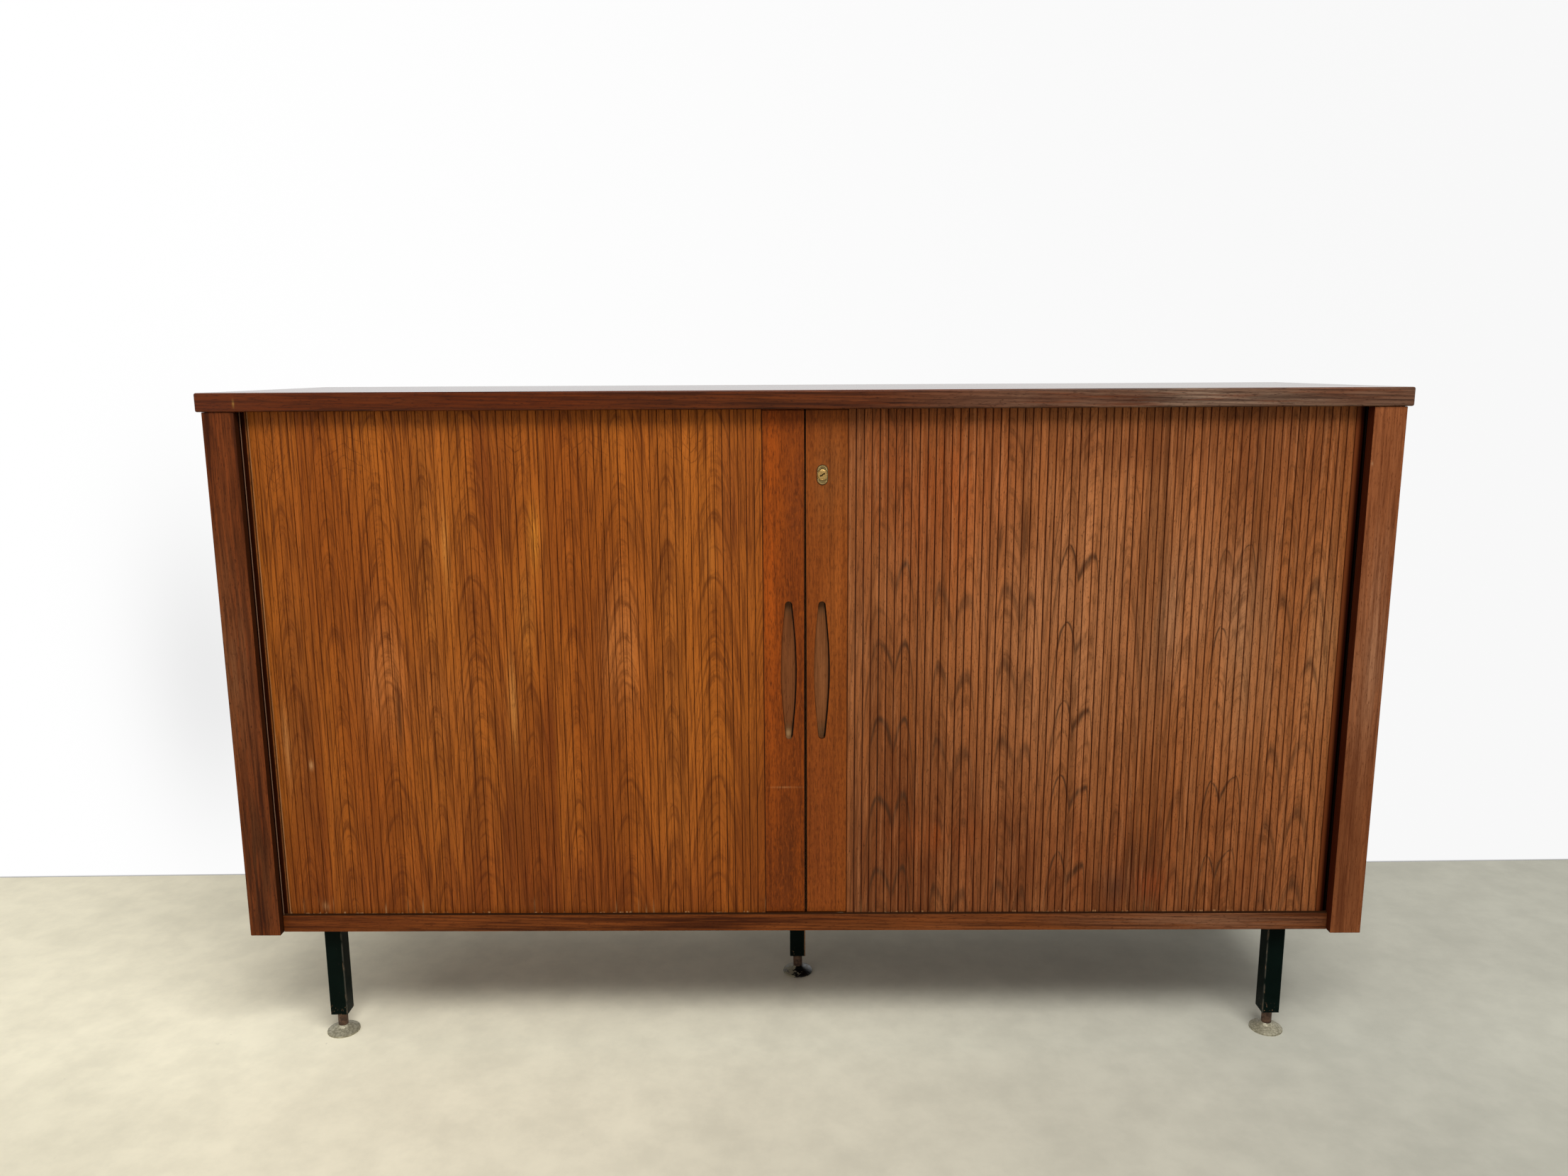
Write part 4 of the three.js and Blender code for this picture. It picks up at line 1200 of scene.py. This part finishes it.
def make_tambour(word, side):
    """One door's slats and canvas: the flat front run, and what stands at and past the corner."""
    tambour = f"tambour_{word}"
    heights = [place.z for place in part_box(tambour)]
    corner = (track_corner_x(), TRACK_FACE_Y + SLAT_THICKNESS + CORNER_RADIUS)
    stile_outer = max(side * place.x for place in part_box(f"lead_stile_{word}"))
    pitch = SLAT_SHAPES[word]["pitch"]
    start = stile_outer - corner[0]
    end = CORNER_RADIUS * math.pi / 2 + TAIL_LENGTH
    front_end = start + int(-start / pitch) * pitch
    chance = random.Random(SLAT_SEED + side)
    runs = {"front": Prisms(), "corner": Prisms()}
    profile = slat_profile(**SLAT_SHAPES[word])
    for i in range(int((end - start) / pitch)):
        centre = start + (i + 0.5) * pitch
        run = "front" if centre < front_end else "corner"
        shift = chance.uniform(-SLAT_WANDER, SLAT_WANDER)
        runs[run].add(slat_outline(profile, centre, side, corner, shift), heights, chance.random())
    for run, prisms in runs.items():
        body = f"door_{word}" if run == "front" else "carcass"
        slats = prisms.piece(f"slats_{word}_{run}", f"slats_{word}", body, tambour)
        strip = Prisms()
        span = (start, front_end) if run == "front" else (front_end, end)
        strip.add(canvas_outline(*span, side, corner), heights)
        cloth = strip.piece(f"canvas_{word}_{run}", "canvas", body, tambour)
        if run == "front":
            for piece in (slats, cloth):
                squash_front(piece, word, side * stile_outer, front_end - start)


def squash_front(piece, word, stile_x, length):
    """Gives the front run its own copy of its mesh. How much of the run would stay once the stile reaches the
    corner is worked out, but the run is not shortened.
    """
    joint = f"door_{word}_slide"
    travel = next(j["range_m"][1] for j in frame["joints"] if j["name"] == joint)
    keep = (length - travel) / length
    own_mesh(piece)


def add_lock_ring():
    """A raised ring round the plug."""
    low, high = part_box("lock_plug")
    middle = (low + high) / 2
    middle.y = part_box("lock_barrel")[0].y
    inner = (high.x - low.x) / 2 + RING_GAP
    vertices, faces = [], []
    for row in range(RING_STEPS):
        turn = math.tau * row / RING_STEPS
        radius = inner + RING_THICKNESS * (1 + math.cos(turn))
        rise = RING_THICKNESS * math.sin(turn)
        for step in range(ROUND_STEPS):
            angle = math.tau * step / ROUND_STEPS
            vertices.append(middle + Vector((radius * math.cos(angle), -rise, radius * math.sin(angle))))
            places = [(row + i) % RING_STEPS * ROUND_STEPS + (step + j) % ROUND_STEPS
                      for i, j in ((0, 0), (0, 1), (1, 1), (1, 0))]
            faces.append(places)
    new_piece("lock_ring", vertices, faces, "brass", "door_right")


def add_lock_wards():
    """The wards that give the keyhole its crooked shape."""
    middle = middle_of("lock_plug")
    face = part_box("lock_plug")[0].y
    tilt = Matrix.Rotation(KEYHOLE_TILT, 2)
    for number, (along, across, length, width) in enumerate(WARDS):
        corners = []
        for depth in WARD_DEPTHS:
            for u, v in ((-1, -1), (1, -1), (1, 1), (-1, 1)):
                x, z = tilt @ Vector((along + u * length / 2, across + v * width / 2))
                corners.append((middle.x + x, face + depth, middle.z + z))
        new_piece(f"lock_ward_{number}", corners, BOX_FACES, "brass", "lock")


def add_head(vertices, faces, place, turn, radius, height, slotted):
    """A closed domed head, split by its slot where it has one."""
    halves, sweep, count = (2, math.pi, HEAD_STEPS + 1) if slotted else (1, math.tau, HEAD_STEPS)
    for half in range(halves):
        start = len(vertices)
        aside = (0.5 - half) * radius * HEAD_SLOT_SHARE if slotted else 0.0
        for reach, rise in HEAD_PROFILE_SHARES:
            for step in range(count):
                angle = math.pi * half + sweep * step / HEAD_STEPS
                x, y = radius * reach * math.cos(angle), radius * reach * math.sin(angle)
                vertices.append(place + turn @ Vector((x, y + aside, height * rise)))
        pole = len(vertices)
        vertices.append(place + turn @ Vector((0.0, aside, height * HEAD_TOP_SHARE)))
        for step in range(HEAD_STEPS):
            after = (step + 1) % count
            for first in range(start, pole - count, count):
                faces.append((first + step, first + after, first + count + after, first + count + step))
            faces.append((pole - count + step, pole - count + after, pole))
        faces.append(tuple(range(start + count - 1, start - 1, -1)))
        if slotted:
            right = range(start, pole, count)
            left = [first + count - 1 for first in right]
            faces.append((*right, pole, *left[::-1]))


def add_heads(name, places, turn, head, body):
    vertices, faces = [], []
    for number, place in enumerate(places):
        spun = turn @ Matrix.Rotation(SCREW_TURN * (number + 1), 3, "Z")
        add_head(vertices, faces, Vector(place), spun, *head)
    new_piece(name, vertices, faces, "steel", body)


def add_fasteners():
    """Screws that hold the legs, the lock case and the strike, and the nails of the back panel."""
    downward = Matrix.Rotation(math.pi, 3, "X")
    backward = Matrix.Rotation(-math.pi / 2, 3, "X")
    hole = PLATE_HALF - PLATE_HOLE_INSET
    for word in LEGS:
        middle = middle_of(f"leg_{word}")
        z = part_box(f"leg_{word}")[1].z - PLATE_THICKNESS
        places = [(middle.x + i * hole, middle.y + j * hole, z) for i in (-1, 1) for j in (-1, 1)]
        add_heads(f"leg_screws_{word}", places, downward, LEG_SCREW, "carcass")
    low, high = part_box("strike_plate")
    rises = (low.z + STRIKE_SCREW_INSET, high.z - STRIKE_SCREW_INSET)
    places = [(low.x + STRIKE_SCREW_INSET, low.y + STRIKE_THICKNESS, z) for z in rises]
    add_heads("strike_screws", places, backward, SMALL_SCREW, "door_left")
    low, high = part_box("lock_case")
    x = middle_of("lock_case").x
    rises = (low.z + CASE_SCREW_INSET, high.z - CASE_SCREW_INSET)
    places = [(x + CASE_SCREW_ASIDE * i, high.y, z) for i in (-1, 1) for z in rises]
    add_heads("lock_case_screws", places, backward, SMALL_SCREW, "door_right")
    low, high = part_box("back_panel")
    step = (high.x - low.x - 2 * NAIL_INSET) / NAIL_COUNT
    rises = (low.z + NAIL_INSET, high.z - NAIL_INSET)
    places = [(low.x + NAIL_INSET + step * i, high.y, z) for i in range(NAIL_COUNT + 1) for z in rises]
    add_heads("back_nails", places, backward, NAIL, "carcass")


def floor_finish():
    """Pale concrete, painted lighter on the left and darker towards the front as light and shade."""
    shader = Shader("floor")
    x, y, _ = shader.axes()
    # Painted light: lighter on the left, and painted shade towards the front
    tone = shader.mix(x.rise(-FLOOR_TONES_REACH, FLOOR_TONES_REACH), *FLOOR_TONES)
    shade = shader.spots("floor_cloud") * y.rise(*FLOOR_FRONT) * shader.spots("floor_fine")
    tone = shader.darken(tone, shade)
    tone = shader.mix(shader.spots("floor_speck") * FLOOR_SPECK_SHARE, tone, srgb(*FLOOR_SPECK))
    return shader.finish(tone, FLOOR_ROUGHNESS, shader.spots("floor_grit"), FLOOR_BUMP, level=FLOOR_LEVEL)


def wall_finish():
    """White to the camera and in reflections, from the front only, and no hindrance to the light. Its glow is
    painted light: dimmer to the right, dark along its foot, with a painted shadow of the cabinet on the left.
    """
    shader = Shader("wall")
    camera, glossy, through = (shader.node("ShaderNodeLightPath", output=f"Is {ray} Ray")
                               for ray in ("Camera", "Glossy", "Transmission"))
    seen = camera.math("MAXIMUM", glossy).math("MAXIMUM", through) * (1.0 - shader.geometry("Backfacing"))
    x, _, z = shader.axes()
    reach, right_end = WALL_SIDE
    foot, foot_share = WALL_FOOT
    # Painted light: dimmer to the right and at the foot, with a painted shadow of the cabinet
    strength = x.rise(-reach, reach, 1.0, right_end) * z.rise(0.0, foot, foot_share)
    strength *= 1.0 - patch(x, z, *WALL_SHADE) * WALL_SHADE_SHARE
    glow = shader.node("ShaderNodeEmission", {0: WHITE, 1: strength})
    clear = shader.node("ShaderNodeBsdfTransparent")
    mixed = shader.node("ShaderNodeMixShader", {0: seen, 1: clear, 2: glow})
    shader.feed(shader.tree.nodes["Material Output"].inputs["Surface"], mixed)
    return shader.material


def stage_plane(name, corners, material):
    mesh = bpy.data.meshes.new(name)
    mesh.from_pydata(corners, [], [(0, 1, 2, 3)])
    mesh.materials.append(material)
    add_object(name, mesh)


def make_stage():
    x = y = STAGE_REACH
    stage_plane("floor", [(-x, -y, 0), (x, -y, 0), (x, y, 0), (-x, y, 0)], floor_finish())
    left_y, right_y = (WALL_Y + WALL_SLOPE * end for end in (-x, x))
    wall = [(-x, left_y, 0), (x, right_y, 0), (x, right_y, WALL_HEIGHT), (-x, left_y, WALL_HEIGHT)]
    stage_plane("wall", wall, wall_finish())


def make_light():
    world = bpy.data.worlds.new("world")
    world.use_nodes = True
    background = world.node_tree.nodes["Background"].inputs
    background["Color"].default_value = (*WHITE, 1.0)
    background["Strength"].default_value = WORLD_STRENGTH
    bpy.context.scene.world = world
    for name, (place, size, power) in LAMPS.items():
        light = bpy.data.lights.new(name, "AREA")
        light.shape = "RECTANGLE"
        light.size, light.size_y = size
        light.energy = power
        lamp = add_object(name, light)
        lamp.location = place
        lamp.rotation_euler = (LAMP_TARGET - Vector(place)).to_track_quat("-Z", "Y").to_euler()


def make_camera():
    turn = Matrix.Rotation(-CAMERA_YAW, 4, "Z")
    turn @= Matrix.Rotation(math.pi / 2 - CAMERA_PITCH, 4, "X")
    turn @= Matrix.Rotation(CAMERA_ROLL, 4, "Z")
    data = bpy.data.cameras.new("camera")
    data.sensor_fit = "HORIZONTAL"
    data.sensor_width = SENSOR_WIDTH
    data.lens = FOCAL_PIXELS / PHOTO_WIDTH * SENSOR_WIDTH
    camera = add_object("camera", data)
    camera.matrix_world = Matrix.Translation(CAMERA_PLACE) @ turn
    bpy.context.scene.camera = camera


bpy.context.scene.view_settings.view_transform = "Standard"
make_camera()
make_stage()
make_light()
dress_solids()
add_lock_ring()
add_lock_wards()
add_fasteners()
for side_word, side_sign in SIDES.items():
    make_tambour(side_word, side_sign)
